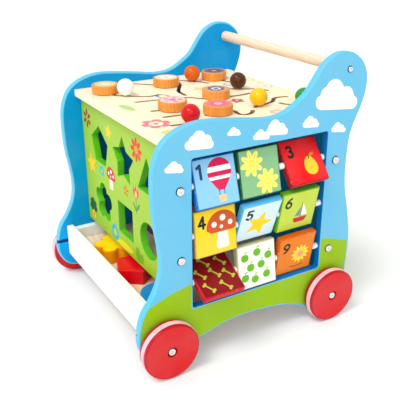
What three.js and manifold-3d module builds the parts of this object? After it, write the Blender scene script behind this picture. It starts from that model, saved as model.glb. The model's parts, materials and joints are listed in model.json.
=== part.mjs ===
// Wooden activity walker: a push-along box on four wheels with a grab bar,
// a shape-sorter front, a sliding-token maze on top and a wall of nine
// turning tiles in one side.
//
// Millimetres. +Z is up and the wheels stand on z = 0. The walker travels
// towards -Y (sorter and block tray in front, grab bar behind). The tile
// wall is in the side panel at +X.

import * as THREE from 'three';
import { mergeVertices } from 'three/addons/utils/BufferGeometryUtils.js';
import Module from 'manifold-3d';

const wasm = await Module();
wasm.setup();

// ---------------------------------------------------------------- dimensions
const GAP = 0.3;                    // clearance between touching pieces

const PANEL_T = 12;                 // side panel thickness
const PANEL_OUT = 177.8;            // outer face of a side panel, from the middle
const PANEL_IN = PANEL_OUT - PANEL_T;
const PANEL_ROUND = 2;              // eased panel edge
const BOARD_HALF = PANEL_IN - GAP;  // half width of the boards between the panels
const BOARD_T = 12;

const WINDOW = { y0: -107.75, y1: 129.25, z0: 94.7, z1: 328.5, r: 3.6 };

const SORTER = { front: -131.95, z0: 112.5, z1: 343.4 };
const TOP = { y0: -143.15, y1: 170.75, z0: 343.7, z1: 355.7 };
const REAR = { y0: 142.25, z0: 79.3, z1: 343.4 };

const FLOOR = { z0: 73, z1: 79, y0: -165.95, y1: 154.25 };
const DADO_DEPTH = 5;               // groove in each panel that holds the floor
const DADO_Z = [FLOOR.z0 - GAP, FLOOR.z1 + GAP];
const TRAY_FRONT = { y0: -178.25, z0: 48.5, z1: 106 };
const TRAY_SIDE = { t: 12, y1: -108, z1: 100.3 };

const BAR = { r: 9, y: 162.95, z: 419 };
const BAR_SCREW = { head_r: 4, head_h: 1.8, r: 2, length: 42 };

const WHEEL_R = 45;
const TYRE_R = 46;
const WHEEL_T = 20;
const WHEEL_FACE = 180.3;           // inner face of a wheel, from the middle
const GROOVE_R = 41;
const GROOVE = [6.3, 15.3];
const WHEEL_ROUND = 4;             // both edges of a wheel
const AXLE_R = 4;
const AXLE_BORE_R = 4.35;
const AXLE_Z = TYRE_R;
const AXLE_Y = { front: -154.95, rear: 147.05 };
const HUB_SINK = { r: 8, depth: 8 };
const ROUND_W = 24;                 // facets round a wheel

const ROD = { x: 169.8, r: 2.5, z: [285.5, 209, 132.6], seat: 9 };
const COLLAR_R = 5;
const TILE = { w: 71, h: 72, t: 11, pitch: 75, y_mid: 7.75, bore_r: 2.9, ease: 1.5 };

const BOLT = { head_r: 5.8, head_h: 2.6, r: 2.5, length: 42, socket: 1.9 };

const SLOT_W = 6.4;                 // guide slots in the maze board
const PEG_R = 2.6;
const KEEPER = { r: 7, t: 3 };      // button under the board that keeps a token in
const DISC = { r: 22.5, t: 14.5 };
const BALL_R = 14;
const LIFT = 0.6;                   // running gap over and under the board

const BLOCK_T = 25;
const BLOCK_Z = FLOOR.z1 + GAP;

// Outline of a side panel, as (y, z), going round from the top of the handle
// lobe down over the front, the foot arch and the rear foot.
const OUTLINE = [
  [154.5, 445.6], [144.0, 445.7], [132.5, 442.3], [122.0, 436.8], [113.3, 429.4], [105.5, 419.9],
  [97.7, 408.9], [90.3, 398.8], [82.6, 390.8], [72.9, 384.1], [60.7, 376.6], [47.9, 370.4],
  [33.5, 367.0], [15.9, 366.4], [-2.3, 368.3], [-20.4, 371.1], [-38.2, 373.5], [-55.4, 375.7],
  [-72.4, 377.5], [-89.2, 378.6], [-105.4, 377.7], [-121.7, 374.3], [-135.4, 368.9], [-146.4, 361.9],
  [-155.1, 352.6], [-161.4, 341.2], [-165.6, 328.6], [-168.2, 313.0], [-168.9, 296.0], [-168.7, 278.0],
  [-167.9, 258.0], [-165.8, 239.0], [-162.6, 219.2], [-160.0, 199.0], [-159.2, 182.0], [-160.2, 167.9],
  [-163.5, 153.2], [-169.3, 139.5], [-177.2, 125.6], [-186.4, 113.0], [-192.2, 102.0], [-196.1, 88.5],
  [-198.2, 73.5], [-198.2, 59.5], [-194.8, 46.0], [-187.8, 33.6], [-178.0, 25.0], [-163.4, 20.4],
  [-146.0, 19.4], [-128.0, 22.6], [-112.0, 29.8], [-96.6, 36.6], [-77.0, 42.0], [-57.4, 46.6],
  [-37.6, 50.0], [-17.5, 51.2], [3.0, 50.6], [23.6, 48.9], [42.9, 46.6], [64.0, 42.3],
  [86.4, 35.6], [101.0, 29.2], [114.0, 22.6], [130.0, 18.6], [147.0, 18.2], [163.0, 21.6],
  [177.0, 30.6], [186.2, 44.0], [189.9, 60.0], [191.5, 81.2], [192.9, 105.2], [193.2, 127.0],
  [191.9, 146.0], [188.6, 167.1], [182.5, 196.1], [176.4, 222.0], [173.4, 245.0], [172.5, 268.0],
  [172.9, 290.0], [174.4, 309.0], [178.2, 325.6], [184.2, 340.3], [190.3, 353.0], [195.4, 366.0],
  [199.1, 378.5], [200.8, 391.4], [200.3, 404.4], [197.0, 416.0], [189.2, 428.1], [177.5, 438.2],
  [166.5, 443.6],
];

// Panel bolts as (y, z), two into the sorter board and two into the rear board.
const BOLTS = { front_upper: [-126.45, 285.1], front_lower: [-126.45, 178.4], rear_upper: [148.25, 279.2], rear_lower: [148.25, 125.3] };

// Sorter holes, as centre (x, z) and size.
const HOLES = {
  pentagon: { at: [-92.5, 271.5], r: 36 },
  star: { at: [1.8, 275.0], r: 40.5, r2: 23 },
  triangle: { at: [87.0, 268.5], side: 66 },
  flower: { at: [-89.4, 171.0], r: 35 },
  square: { at: [0.2, 170.0], side: 56 },
  circle: { at: [84.8, 170.0], r: 30 },
};
const BLOCK_PLAY = 1.5;             // a block is this much smaller all round than its hole

// Tokens of the maze: rest place (x, y), unit running direction, straight run
// (mm before and after the rest place), and the slot's bends past either end.
const TOKENS = {
  disc_green: { disc: true, at: [-114.6, -106.3], dir: [-0.380, 0.925], run: [-6, 36] },
  disc_gold: { disc: true, at: [-105.7, 3.9], dir: [-0.717, -0.697], run: [-12, 44], after: [[-143.2, -32.6], [-149.0, -38.2]] },
  disc_navy: { disc: true, at: [-106.2, 102.1], dir: [0.952, 0.305], run: [-12, 32], after: [[-63.0, 117.5], [-53.0, 128.0]] },
  disc_pink: { disc: true, at: [33.7, -58.3], dir: [0.2202, 0.9755], run: [-32, 18], after: [[44.5, -31.5], [55.0, -31.0], [64.0, -39.0], [67.5, -56.0], [66.5, -74.0], [65.0, -89.0]] },
  disc_spots: { disc: true, at: [8.4, 35.3], dir: [0.265, 0.964], run: [-21, 20], before: [[-5.0, 6.0], [-15.5, -3.0], [-20.5, -22.0], [-25.5, -45.0], [-30.0, -66.0], [-33.0, -88.0]], after: [[15.5, 70.0], [15.5, 84.0], [13.0, 99.0]] },
  disc_ring: { disc: true, at: [88.4, -10.8], dir: [-0.0405, 0.9992], run: [-20, 20], after: [[91.5, 16.8], [100.5, 15.2], [110.0, 15.0], [116.0, 22.0], [112.5, 34.0], [102.5, 43.0]] },
  ball_white: { at: [-77.6, -85.8], dir: [0.657, 0.7539], run: [-5, 24], before: [[-88.0, -97.5], [-97.0, -101.5]], after: [[-54.5, -52.0], [-57.0, -35.0]] },
  ball_orange: { at: [-110.7, 58.9], dir: [-0.7785, -0.6276], run: [-6, 24], before: [[-95.0, 71.5], [-84.0, 76.5]], after: [[-128.5, 38.0], [-116.0, 33.0], [-97.0, 26.0], [-78.0, 14.0], [-60.0, 3.5], [-40.0, 0.5], [-31.0, 0.5]] },
  ball_brown: { at: [-21.5, 97.9], dir: [0.508, 0.8613], run: [-20, 24], after: [[0.5, 130.0], [13.0, 134.5]] },
  ball_red: { at: [112.4, -71.7], dir: [0.160, 0.987], run: [-28, 6], after: [[117.0, -54.0], [127.5, -45.0]] },
  ball_yellow: { at: [87.3, 63.9], dir: [-0.280, 0.960], run: [-8, 26], after: [[73.5, 102.0], [62.0, 112.5], [59.5, 124.5], [63.5, 137.0]] },
  ball_green: { at: [121.3, 125.4], dir: [0.7645, 0.6446], run: [-22, 13], before: [[97.5, 106.0], [90.0, 104.5]] },
};

// Tiles as column, row, resting turn about the rod in degrees, and how far
// the tile has slid along it.
const TILES = {
  tile_1_blue: [0, 0, -17], tile_2_flowers: [1, 0, -13.5], tile_3_red: [2, 0, -38, 5.6],
  tile_4_yellow: [0, 1, -6.5], tile_5_star: [1, 1, 20], tile_6_lime: [2, 1, 12],
  tile_7_maroon: [0, 2, -62.5], tile_8_apples: [1, 2, -8], tile_9_orange: [2, 2, 10],
};

// ------------------------------------------------------------------- helpers
const BLUE = 0x6cc4ec, WHITE = 0xf4f4f0, LIME = 0xb4d046, BEECH = 0xe0a765, MAPLE = 0xf0dfbd, RED = 0xe2383c, STEEL = 0xc8ccd0;

function finish(color, roughness = 0.4, metalness = 0) {
  return new THREE.MeshStandardMaterial({ color, roughness, metalness });
}

function named(name, geometry, material) {
  const m = new THREE.Mesh(geometry, material);
  m.name = name;
  return m;
}

function solid(geometry) {
  const g = geometry.index ? geometry.toNonIndexed() : geometry.clone();
  g.deleteAttribute('normal');
  g.deleteAttribute('uv');
  const m = mergeVertices(g, 1e-4);
  return new wasm.Manifold(new wasm.Mesh({
    numProp: 3,
    vertProperties: new Float32Array(m.attributes.position.array),
    triVerts: new Uint32Array(m.index.array),
  }));
}

function shell(body) {
  const mesh = body.getMesh();
  const g = new THREE.BufferGeometry();
  g.setAttribute('position', new THREE.BufferAttribute(new Float32Array(mesh.vertProperties), 3));
  g.setIndex(new THREE.BufferAttribute(new Uint32Array(mesh.triVerts), 1));
  g.computeVertexNormals();
  return g;
}

function cut(geometry, tools) {
  let s = solid(geometry);
  for (const t of tools) s = s.subtract(solid(t));
  return shell(s);
}

const shapeOf = (points) => new THREE.Shape(points.map(([a, b]) => new THREE.Vector2(a, b)));

function plate(shape, t, ease = 0) {
  const g = new THREE.ExtrudeGeometry(shape, ease
    ? { depth: t - 2 * ease, bevelEnabled: true, bevelThickness: ease, bevelSize: ease, bevelOffset: -ease, bevelSegments: 1, curveSegments: 6 }
    : { depth: t, bevelEnabled: false, curveSegments: 6 });
  g.translate(0, 0, ease ? ease : 0);
  return g;
}

// Board standing between the panels: drawn as (x, z), thickness along +Y.
function standUp(g) { return g.rotateX(Math.PI / 2).scale(1, 1, 1); }

function rounded(x0, y0, x1, y1, r, steps = 4) {
  const out = [];
  for (const [cx, cy, a0] of [[x1 - r, y1 - r, 0], [x0 + r, y1 - r, 90], [x0 + r, y0 + r, 180], [x1 - r, y0 + r, 270]]) {
    for (let i = 0; i <= steps; i++) {
      const a = (a0 + 90 * i / steps) * Math.PI / 180;
      out.push([cx + r * Math.cos(a), cy + r * Math.sin(a)]);
    }
  }
  return out;
}

function ring(cx, cy, r, n, phase = 0) {
  return Array.from({ length: n }, (_, i) => [cx + r * Math.cos(phase + i * 2 * Math.PI / n), cy + r * Math.sin(phase + i * 2 * Math.PI / n)]);
}

// Turned body: profile of (radius, height) about local +Y, laid along +X.
function turned(profile, n, along = 'x') {
  const g = new THREE.LatheGeometry(profile.map(([r, h]) => new THREE.Vector2(r, h)), n);
  if (along === 'x') g.rotateZ(-Math.PI / 2);
  if (along === 'z') g.rotateX(Math.PI / 2);
  return g;
}

// Band of constant width along an open line, with round ends.
function band(line, width) {
  const left = [], right = [], h = width / 2;
  const dirs = line.slice(1).map((p, i) => { const dx = p[0] - line[i][0], dy = p[1] - line[i][1], l = Math.hypot(dx, dy); return [dx / l, dy / l]; });
  line.forEach((p, i) => {
    const a = dirs[Math.max(i - 1, 0)], b = dirs[Math.min(i, dirs.length - 1)];
    let nx = -(a[1] + b[1]), ny = a[0] + b[0];
    const l = Math.hypot(nx, ny); nx /= l; ny /= l;
    const k = h / Math.max(0.5, nx * -a[1] + ny * a[0]);
    left.push([p[0] + nx * k, p[1] + ny * k]);
    right.push([p[0] - nx * k, p[1] - ny * k]);
  });
  const cap = (c, d) => [1, 2, 3].map((i) => { const t = Math.PI / 2 - i * Math.PI / 4; return [c[0] + h * (d[0] * Math.cos(t) - d[1] * Math.sin(t)), c[1] + h * (d[1] * Math.cos(t) + d[0] * Math.sin(t))]; });
  const end = cap(line[line.length - 1], dirs[dirs.length - 1]);
  const start = cap(line[0], dirs[0].map((v) => -v));
  return [...left, ...end, ...right.reverse(), ...start];
}

// Middle line of a token's slot: a straight run with smooth bends past its ends.
function slotLine({ at, dir, run, before = [], after = [] }) {
  const [p0, p1] = run.map((t) => [at[0] + dir[0] * t, at[1] + dir[1] * t]);
  const bend = (from, via, tail) => {
    if (!tail.length) return [];
    const c = new THREE.SplineCurve([from, via, ...tail].map(([a, b]) => new THREE.Vector2(a, b)));
    const n = tail.length + 1;
    return c.getPoints(n * 2).slice(3).map((p) => [p.x, p.y]);
  };
  return [...bend(p1, p0, before).reverse(), p0, p1, ...bend(p0, p1, after)];
}

const scaleAbout = (pts, [cx, cy]) => pts.map(([a, b]) => [a + cx, b + cy]);

// The six sorter outlines about their own centre, opened by `grow` (mm).
function outlineOf(kind, grow) {
  const h = HOLES[kind];
  if (kind === 'pentagon') return ring(0, 0, h.r + grow / Math.cos(Math.PI / 5), 5, Math.PI / 2);
  if (kind === 'circle') return ring(0, 0, h.r + grow, 28);
  if (kind === 'square') { const s = h.side / 2 + grow; return [[-s, -s], [s, -s], [s, s], [-s, s]]; }
  if (kind === 'triangle') { const R = h.side / Math.sqrt(3) + 2 * grow; return ring(0, 0, R, 3, Math.PI / 2); }
  if (kind === 'star') {
    return Array.from({ length: 10 }, (_, i) => { const r = (i % 2 ? h.r2 : h.r) + grow * (i % 2 ? 1.15 : 1.5), a = Math.PI / 2 + i * Math.PI / 5; return [r * Math.cos(a), r * Math.sin(a)]; });
  }
  const out = [];                    // five-petalled flower
  const n = 5, c = h.r * 0.6 + grow * 0.2, pr = h.r - c + grow;
  for (let i = 0; i < n; i++) {
    const a = Math.PI / 2 + i * 2 * Math.PI / n;
    for (let k = -2; k <= 2; k++) { const t = a + k * 0.81; out.push([c * Math.cos(a) + pr * Math.cos(t), c * Math.sin(a) + pr * Math.sin(t)]); }
  }
  return out;
}

const walker = new THREE.Group();
const ALONG_X = new THREE.Matrix4().makeBasis(new THREE.Vector3(0, 1, 0), new THREE.Vector3(0, 0, 1), new THREE.Vector3(1, 0, 0));
const FACE_FRONT = new THREE.Matrix4().makeBasis(new THREE.Vector3(1, 0, 0), new THREE.Vector3(0, 0, 1), new THREE.Vector3(0, -1, 0));

// --------------------------------------------------------------- side panels
const outline = new THREE.SplineCurve([...OUTLINE, OUTLINE[0]].map(([y, z]) => new THREE.Vector2(y, z))).getPoints(OUTLINE.length).slice(0, -1).map((p) => [p.x, p.y]);

function sidePanel(name, side) {
  // Local x, y, z are the walker's Y, Z, X; local z = 0 is the panel's low-X face.
  const shape = shapeOf(outline);
  if (side > 0) {
    const hole = new THREE.Path(rounded(WINDOW.y0, WINDOW.z0, WINDOW.y1, WINDOW.z1, WINDOW.r).reverse().map(([a, b]) => new THREE.Vector2(a, b)));
    shape.holes.push(hole);
  }
  const body = plate(shape, PANEL_T, PANEL_ROUND);
  const low = side > 0 ? PANEL_IN : -PANEL_OUT;
  const inner = side > 0 ? 0 : PANEL_T;
  const tools = [];
  const drill = (y, z, r, n = 12) => { const t = plate(shapeOf(ring(y, z, r, n)), PANEL_T + 4); t.translate(0, 0, -2); tools.push(t); };
  for (const [y, z] of Object.values(BOLTS)) drill(y, z, BOLT.r + GAP);
  drill(BAR.y, BAR.z, BAR_SCREW.r + GAP);
  drill(AXLE_Y.front, AXLE_Z, AXLE_R + GAP, 16);
  drill(AXLE_Y.rear, AXLE_Z, AXLE_R + GAP, 16);
  // Groove for the tray floor, open at the front edge of the panel.
  const groove = new THREE.BoxGeometry(FLOOR.y1 + GAP + 230, DADO_Z[1] - DADO_Z[0], DADO_DEPTH * 2);
  groove.translate((FLOOR.y1 + GAP - 230) / 2, (DADO_Z[0] + DADO_Z[1]) / 2, inner);
  tools.push(groove);
  if (side > 0) {
    for (const z of ROD.z) {         // blind seats for the tile rods, in the window's two uprights
      const seat = turned([[0, 0], [ROD.r + GAP, 0], [ROD.r + GAP, WINDOW.y1 - WINDOW.y0 + 2 * (ROD.seat + 1)], [0, WINDOW.y1 - WINDOW.y0 + 2 * (ROD.seat + 1)]], 12);
      seat.translate(WINDOW.y0 - ROD.seat - 1, z, ROD.x - PANEL_IN);
      tools.push(seat);
    }
  }
  const m = named(name, cut(body, tools), finish(BLUE, 0.35));
  m.quaternion.setFromRotationMatrix(ALONG_X);
  m.position.set(low, 0, 0);
  return m;
}
walker.add(sidePanel('left_side_panel', 1), sidePanel('right_side_panel', -1));

// -------------------------------------------------------------------- boards
const boards = new THREE.Group();
walker.add(boards);

function endHoles(r, depth, places) {  // holes into both ends of a board, along X
  return places.flatMap(([y, z]) => [-1, 1].map((s) => {
    const t = turned([[0, -depth], [r, -depth], [r, depth], [0, depth]], 8);
    t.translate(s * BOARD_HALF, y, z);
    return t;
  }));
}

{ // Sorter board, drawn as (x, z); its front face is towards -Y.
  const shape = shapeOf([[-BOARD_HALF, SORTER.z0], [BOARD_HALF, SORTER.z0], [BOARD_HALF, SORTER.z1], [-BOARD_HALF, SORTER.z1]]);
  for (const kind of Object.keys(HOLES)) {
    shape.holes.push(new THREE.Path(scaleAbout(outlineOf(kind, 0), HOLES[kind].at).reverse().map(([a, b]) => new THREE.Vector2(a, b))));
  }
  const g = plate(shape, BOARD_T);
  g.applyMatrix4(FACE_FRONT);
  g.translate(0, SORTER.front + BOARD_T, 0);
  const mesh = named('shape_sorter_board', cut(g, endHoles(BOLT.r + GAP, BOLT.length - PANEL_T + 2, [BOLTS.front_upper, BOLTS.front_lower])), finish(LIME, 0.45));
  boards.add(mesh);
}

{ // Maze board with its guide slots.
  const shape = shapeOf(rounded(-BOARD_HALF, TOP.y0, BOARD_HALF, TOP.y1, 1.5, 1));
  for (const t of Object.values(TOKENS)) {
    shape.holes.push(new THREE.Path(band(slotLine(t), SLOT_W).reverse().map(([a, b]) => new THREE.Vector2(a, b))));
  }
  const m = named('maze_top_board', shell(solid(plate(shape, TOP.z1 - TOP.z0))), finish(MAPLE, 0.5));
  m.position.z = TOP.z0;
  boards.add(m);
}

{
  const g = new THREE.BoxGeometry(2 * BOARD_HALF, BOARD_T, REAR.z1 - REAR.z0);
  g.translate(0, REAR.y0 + BOARD_T / 2, (REAR.z0 + REAR.z1) / 2);
  boards.add(named('rear_board', cut(g, endHoles(BOLT.r + GAP, BOLT.length - PANEL_T + 2, [BOLTS.rear_upper, BOLTS.rear_lower])), finish(LIME, 0.45)));
}

function box(name, x0, x1, y0, y1, z0, z1, material) {
  const m = named(name, new THREE.BoxGeometry(x1 - x0, y1 - y0, z1 - z0), material);
  m.position.set((x0 + x1) / 2, (y0 + y1) / 2, (z0 + z1) / 2);
  return m;
}
const floorHalf = PANEL_IN + DADO_DEPTH - GAP;
boards.add(
  box('tray_floor', -floorHalf, floorHalf, FLOOR.y0, FLOOR.y1, FLOOR.z0, FLOOR.z1, finish(MAPLE, 0.55)),
  box('tray_front_board', -BOARD_HALF, BOARD_HALF, TRAY_FRONT.y0, TRAY_FRONT.y0 + BOARD_T, TRAY_FRONT.z0, TRAY_FRONT.z1, finish(WHITE, 0.4)),
  box('tray_side_left', BOARD_HALF - TRAY_SIDE.t, BOARD_HALF, FLOOR.y0, TRAY_SIDE.y1, FLOOR.z1 + GAP, TRAY_SIDE.z1, finish(WHITE, 0.4)),
  box('tray_side_right', -BOARD_HALF, -BOARD_HALF + TRAY_SIDE.t, FLOOR.y0, TRAY_SIDE.y1, FLOOR.z1 + GAP, TRAY_SIDE.z1, finish(WHITE, 0.4)),
);

// ------------------------------------------------------------------ grab bar
const grab = new THREE.Group();
grab.position.set(0, BAR.y, BAR.z);
walker.add(grab);
{
  const L = BOARD_HALF, hole = BAR_SCREW.length - PANEL_T + 2, r = BAR_SCREW.r + GAP;
  grab.add(named('handle_bar', turned([[0, -L + hole], [r, -L + hole], [r, -L], [BAR.r - 1, -L], [BAR.r, -L + 1], [BAR.r, L - 1], [BAR.r - 1, L], [r, L], [r, L - hole], [0, L - hole]], 20), finish(BEECH, 0.5)));
  for (const [name, s] of [['handle_screw_left', 1], ['handle_screw_right', -1]]) {
    const S = BAR_SCREW;
    const m = named(name, turned([[0, -S.length], [S.r, -S.length], [S.r, 0], [S.head_r, 0], [S.head_r, S.head_h * 0.6], [S.head_r * 0.7, S.head_h], [0, S.head_h]], 10), finish(STEEL, 0.25, 1));
    m.position.x = s * (PANEL_OUT + GAP);
    if (s < 0) m.rotation.z = Math.PI;
    grab.add(m);
  }
}

// --------------------------------------------------------------- panel bolts
function socketBolt(name) {
  const B = BOLT;
  const body = turned([[0, -B.length], [B.r, -B.length], [B.r, 0], [B.head_r, 0], [B.head_r, B.head_h - 0.8], [B.head_r - 0.9, B.head_h], [0, B.head_h]], 12);
  const key = turned([[0, B.head_h - 1.7], [B.socket, B.head_h - 1.7], [B.socket, B.head_h + 1], [0, B.head_h + 1]], 6);
  return named(name, cut(body, [key]), finish(STEEL, 0.25, 1));
}
for (const [place, [y, z]] of Object.entries(BOLTS)) {
  for (const [side, s] of [['left', 1], ['right', -1]]) {
    const b = socketBolt(`bolt_${place}_${side}`);
    b.position.set(s * (PANEL_OUT + GAP), y, z);
    if (s < 0) b.rotation.z = Math.PI;
    walker.add(b);
  }
}

// ----------------------------------------------------------- wheels and axles
function wheelGeometry() {            // local x = 0 is the face next to the panel
  const [g0, g1] = GROOVE, e = WHEEL_ROUND, f = e * 0.3, T = WHEEL_T;
  return turned([
    [AXLE_BORE_R, 0], [WHEEL_R - e, 0], [WHEEL_R - f, f], [WHEEL_R, e], [WHEEL_R, g0], [GROOVE_R, g0], [GROOVE_R, g1], [WHEEL_R, g1], [WHEEL_R, T - e], [WHEEL_R - f, T - f], [WHEEL_R - e, T],
    [HUB_SINK.r, T], [HUB_SINK.r, T - HUB_SINK.depth], [AXLE_BORE_R, T - HUB_SINK.depth], [AXLE_BORE_R, 0],
  ], ROUND_W);
}
function tyreGeometry() {
  const [g0, g1] = [GROOVE[0] + GAP, GROOVE[1] - GAP], r0 = GROOVE_R + GAP, e = 1;
  return turned([[r0, g0], [TYRE_R - e, g0], [TYRE_R, g0 + e], [TYRE_R, g1 - e], [TYRE_R - e, g1], [r0, g1], [r0, g0]], ROUND_W);
}
for (const [end, y] of Object.entries(AXLE_Y)) {
  const set = new THREE.Group();
  set.position.set(0, y, AXLE_Z);
  walker.add(set);
  const w0 = PANEL_OUT + GAP, w1 = WHEEL_FACE - GAP;      // spacing washer between panel and wheel
  const n0 = WHEEL_FACE + WHEEL_T - HUB_SINK.depth + GAP; // end nut, sunk in the hub
  const n1 = n0 + 6.8;
  const half = [[AXLE_R, w0], [7, w0], [7, w1], [AXLE_R, w1], [AXLE_R, n0], [6, n0], [6, n1 - 1.2], [4.8, n1], [0, n1]];
  const profile = [...half.map(([r, h]) => [r, -h]).reverse(), ...half];
  const steel = turned(profile, 12);
  set.add(named(`${end}_axle`, steel, finish(STEEL, 0.25, 1)));
  for (const [side, s] of [['left', 1], ['right', -1]]) {
    for (const [what, g, m] of [['wheel', wheelGeometry(), finish(RED, 0.3)], ['tyre', tyreGeometry(), finish(0xe8b4ac, 0.55)]]) {
      const mesh = named(`${end}_${side}_${what}`, g, m);
      mesh.position.x = s * WHEEL_FACE;
      if (s < 0) mesh.rotation.z = Math.PI;
      set.add(mesh);
    }
  }
}

// ---------------------------------------------------------- tiles on the rods
const wall = new THREE.Group();
wall.position.set(ROD.x, 0, 0);
walker.add(wall);
const tileY = (col, row) => TILE.y_mid + (col - 1) * TILE.pitch + (Object.values(TILES).find(([c, r]) => c === col && r === row)[3] ?? 0);
ROD.z.forEach((z, row) => {
  const y0 = WINDOW.y0, y1 = WINDOW.y1, r = ROD.r, c = COLLAR_R, g = GAP;
  const at = [0, 1, 2].map((col) => tileY(col, row)), w = TILE.w / 2;
  const spans = [[y0 + g, at[0] - w - g], [at[0] + w + g, at[1] - w - g], [at[1] + w + g, at[2] - w - g], [at[2] + w + g, y1 - g]];
  const profile = [[0, y0 - ROD.seat], [r, y0 - ROD.seat]];
  for (const [a, b] of spans) profile.push([r, a], [c, a], [c, b], [r, b]);
  profile.push([r, y1 + ROD.seat], [0, y1 + ROD.seat]);
  const m = named(`tile_rod_${['upper', 'middle', 'lower'][row]}`, new THREE.LatheGeometry(profile.map(([a, b]) => new THREE.Vector2(a, b)), 10), finish(WHITE, 0.4));
  m.position.z = z;
  wall.add(m);
});
const TILE_COLORS = [0x8fd0f4, 0x8fc68f, 0xe01c24, 0xffe02e, 0xcfeaf6, 0xc2d74c, 0x8c1218, 0xfbfbe6, 0xf08a24];
Object.entries(TILES).forEach(([name, [col, row, turn]], i) => {
  const h = TILE.h / 2, t = TILE.t / 2, e = TILE.ease;
  // Section drawn as (x, z), thickness along x, then drawn out along Y.
  const shape = shapeOf([[-t + e, -h], [t - e, -h], [t, -h + e], [t, h - e], [t - e, h], [-t + e, h], [-t, h - e], [-t, -h + e]]);
  shape.holes.push(new THREE.Path(ring(0, 0, TILE.bore_r, 10).reverse().map(([a, b]) => new THREE.Vector2(a, b))));
  const g = plate(shape, TILE.w, 0);
  g.applyMatrix4(FACE_FRONT);
  g.translate(0, TILE.w / 2, 0);
  const m = named(name, g, finish(TILE_COLORS[i], 0.4));
  m.position.set(0, tileY(col, row), ROD.z[row]);
  m.rotation.y = turn * Math.PI / 180;
  wall.add(m);
});

// ------------------------------------------------------------- maze tokens
const maze = new THREE.Group();
maze.position.z = TOP.z1;
walker.add(maze);
const BALL_COLORS = { ball_white: 0xf8f6ee, ball_orange: 0xf07a1c, ball_brown: 0x5a2a12, ball_red: 0xd81826, ball_yellow: 0xf6c414, ball_green: 0x2f9a48 };
for (const [name, t] of Object.entries(TOKENS)) {
  const under = -(TOP.z1 - TOP.z0) - LIFT;               // underside of the board, plus running gap
  const foot = [[0, under - KEEPER.t], [KEEPER.r - 1, under - KEEPER.t], [KEEPER.r, under - KEEPER.t + 1], [KEEPER.r, under], [PEG_R, under]];
  let profile;
  if (t.disc) {
    const e = 1.2, top = LIFT + DISC.t;
    profile = [...foot, [PEG_R, LIFT], [DISC.r - e, LIFT], [DISC.r, LIFT + e], [DISC.r, top - e], [DISC.r - e, top], [0, top]];
  } else {
    const cz = LIFT + BALL_R, a0 = -Math.acos(5 / BALL_R), n = 7;
    const base = cz + BALL_R * Math.sin(a0);
    profile = [...foot, [PEG_R, base]];
    for (let i = 0; i < n; i++) { const a = a0 + (Math.PI / 2 - a0) * i / n; profile.push([BALL_R * Math.cos(a), cz + BALL_R * Math.sin(a)]); }
    profile.push([0, cz + BALL_R]);
  }
  const m = named(name, turned(profile, t.disc ? 16 : 12, 'z'), finish(t.disc ? BEECH : BALL_COLORS[name], t.disc ? 0.5 : 0.2));
  m.position.set(t.at[0], t.at[1], 0);
  maze.add(m);
}

// ----------------------------------------------------------- sorting blocks
const blocks = new THREE.Group();
blocks.position.z = BLOCK_Z;
walker.add(blocks);
const BLOCKS = {
  block_flower: ['flower', -61.0, -131.5, 0xffd60a, 15.3],
  block_pentagon: ['pentagon', 23.5, -130.5, 0xd8101c, -18.7],
  block_circle: ['circle', 124.4, -136.5, 0x1f86c8, 0],
  block_star: ['star', -116.0, 92.0, 0xf07a1c, 0],
  block_square: ['square', -125.0, -12.0, 0x7a4fa0, 0],
  block_triangle: ['triangle', 108.0, 95.0, 0x2f9a48, 0],
};
for (const [name, [kind, x, y, color, turn]] of Object.entries(BLOCKS)) {
  const m = named(name, plate(shapeOf(outlineOf(kind, -BLOCK_PLAY)), BLOCK_T), finish(color, 0.35));
  m.position.set(x, y, 0);
  m.rotation.z = turn * Math.PI / 180;
  blocks.add(m);
}

export default walker;
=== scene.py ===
import json
import math

import bpy
import numpy as np
from mathutils import Matrix, Vector
from mathutils.geometry import delaunay_2d_cdt


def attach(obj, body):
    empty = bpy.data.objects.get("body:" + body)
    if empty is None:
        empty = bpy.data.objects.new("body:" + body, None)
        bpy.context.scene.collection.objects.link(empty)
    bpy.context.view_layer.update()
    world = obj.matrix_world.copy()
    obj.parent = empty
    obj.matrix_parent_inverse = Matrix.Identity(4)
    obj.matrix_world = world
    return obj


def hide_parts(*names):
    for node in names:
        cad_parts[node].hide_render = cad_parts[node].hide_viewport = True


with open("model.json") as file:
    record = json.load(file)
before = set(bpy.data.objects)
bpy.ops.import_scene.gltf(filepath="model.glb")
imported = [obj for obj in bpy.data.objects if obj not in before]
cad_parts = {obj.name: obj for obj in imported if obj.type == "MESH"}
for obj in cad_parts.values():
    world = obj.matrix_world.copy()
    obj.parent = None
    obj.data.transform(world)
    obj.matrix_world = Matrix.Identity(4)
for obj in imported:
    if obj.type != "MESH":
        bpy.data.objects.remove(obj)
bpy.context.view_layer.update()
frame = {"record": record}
scene = bpy.context.scene
MM = 0.001

# ------------------------------------------------------------------ the camera
AZ, EL, ROLL = math.radians(59.59), math.radians(23.51), math.radians(-0.26)
back = Vector((math.sin(AZ) * math.cos(EL), -math.cos(AZ) * math.cos(EL), math.sin(EL)))
right = (-back).cross(Vector((0, 0, 1))).normalized()
up = right.cross(-back)
r2 = right * math.cos(ROLL) + up * math.sin(ROLL)
u2 = -right * math.sin(ROLL) + up * math.cos(ROLL)
cam_data = bpy.data.cameras.new("camera")
cam_data.sensor_width = 36
cam_data.lens = 58.833
cam_data.clip_start, cam_data.clip_end = 0.01, 50
cam = bpy.data.objects.new("camera", cam_data)
cam.matrix_world = Matrix(((r2.x, u2.x, back.x, 0.89443), (r2.y, u2.y, back.y, -0.51576), (r2.z, u2.z, back.z, 0.62757), (0, 0, 0, 1)))
scene.collection.objects.link(cam)
scene.camera = cam
scene.view_settings.view_transform = "Standard"
scene.view_settings.look = "None"

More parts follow.
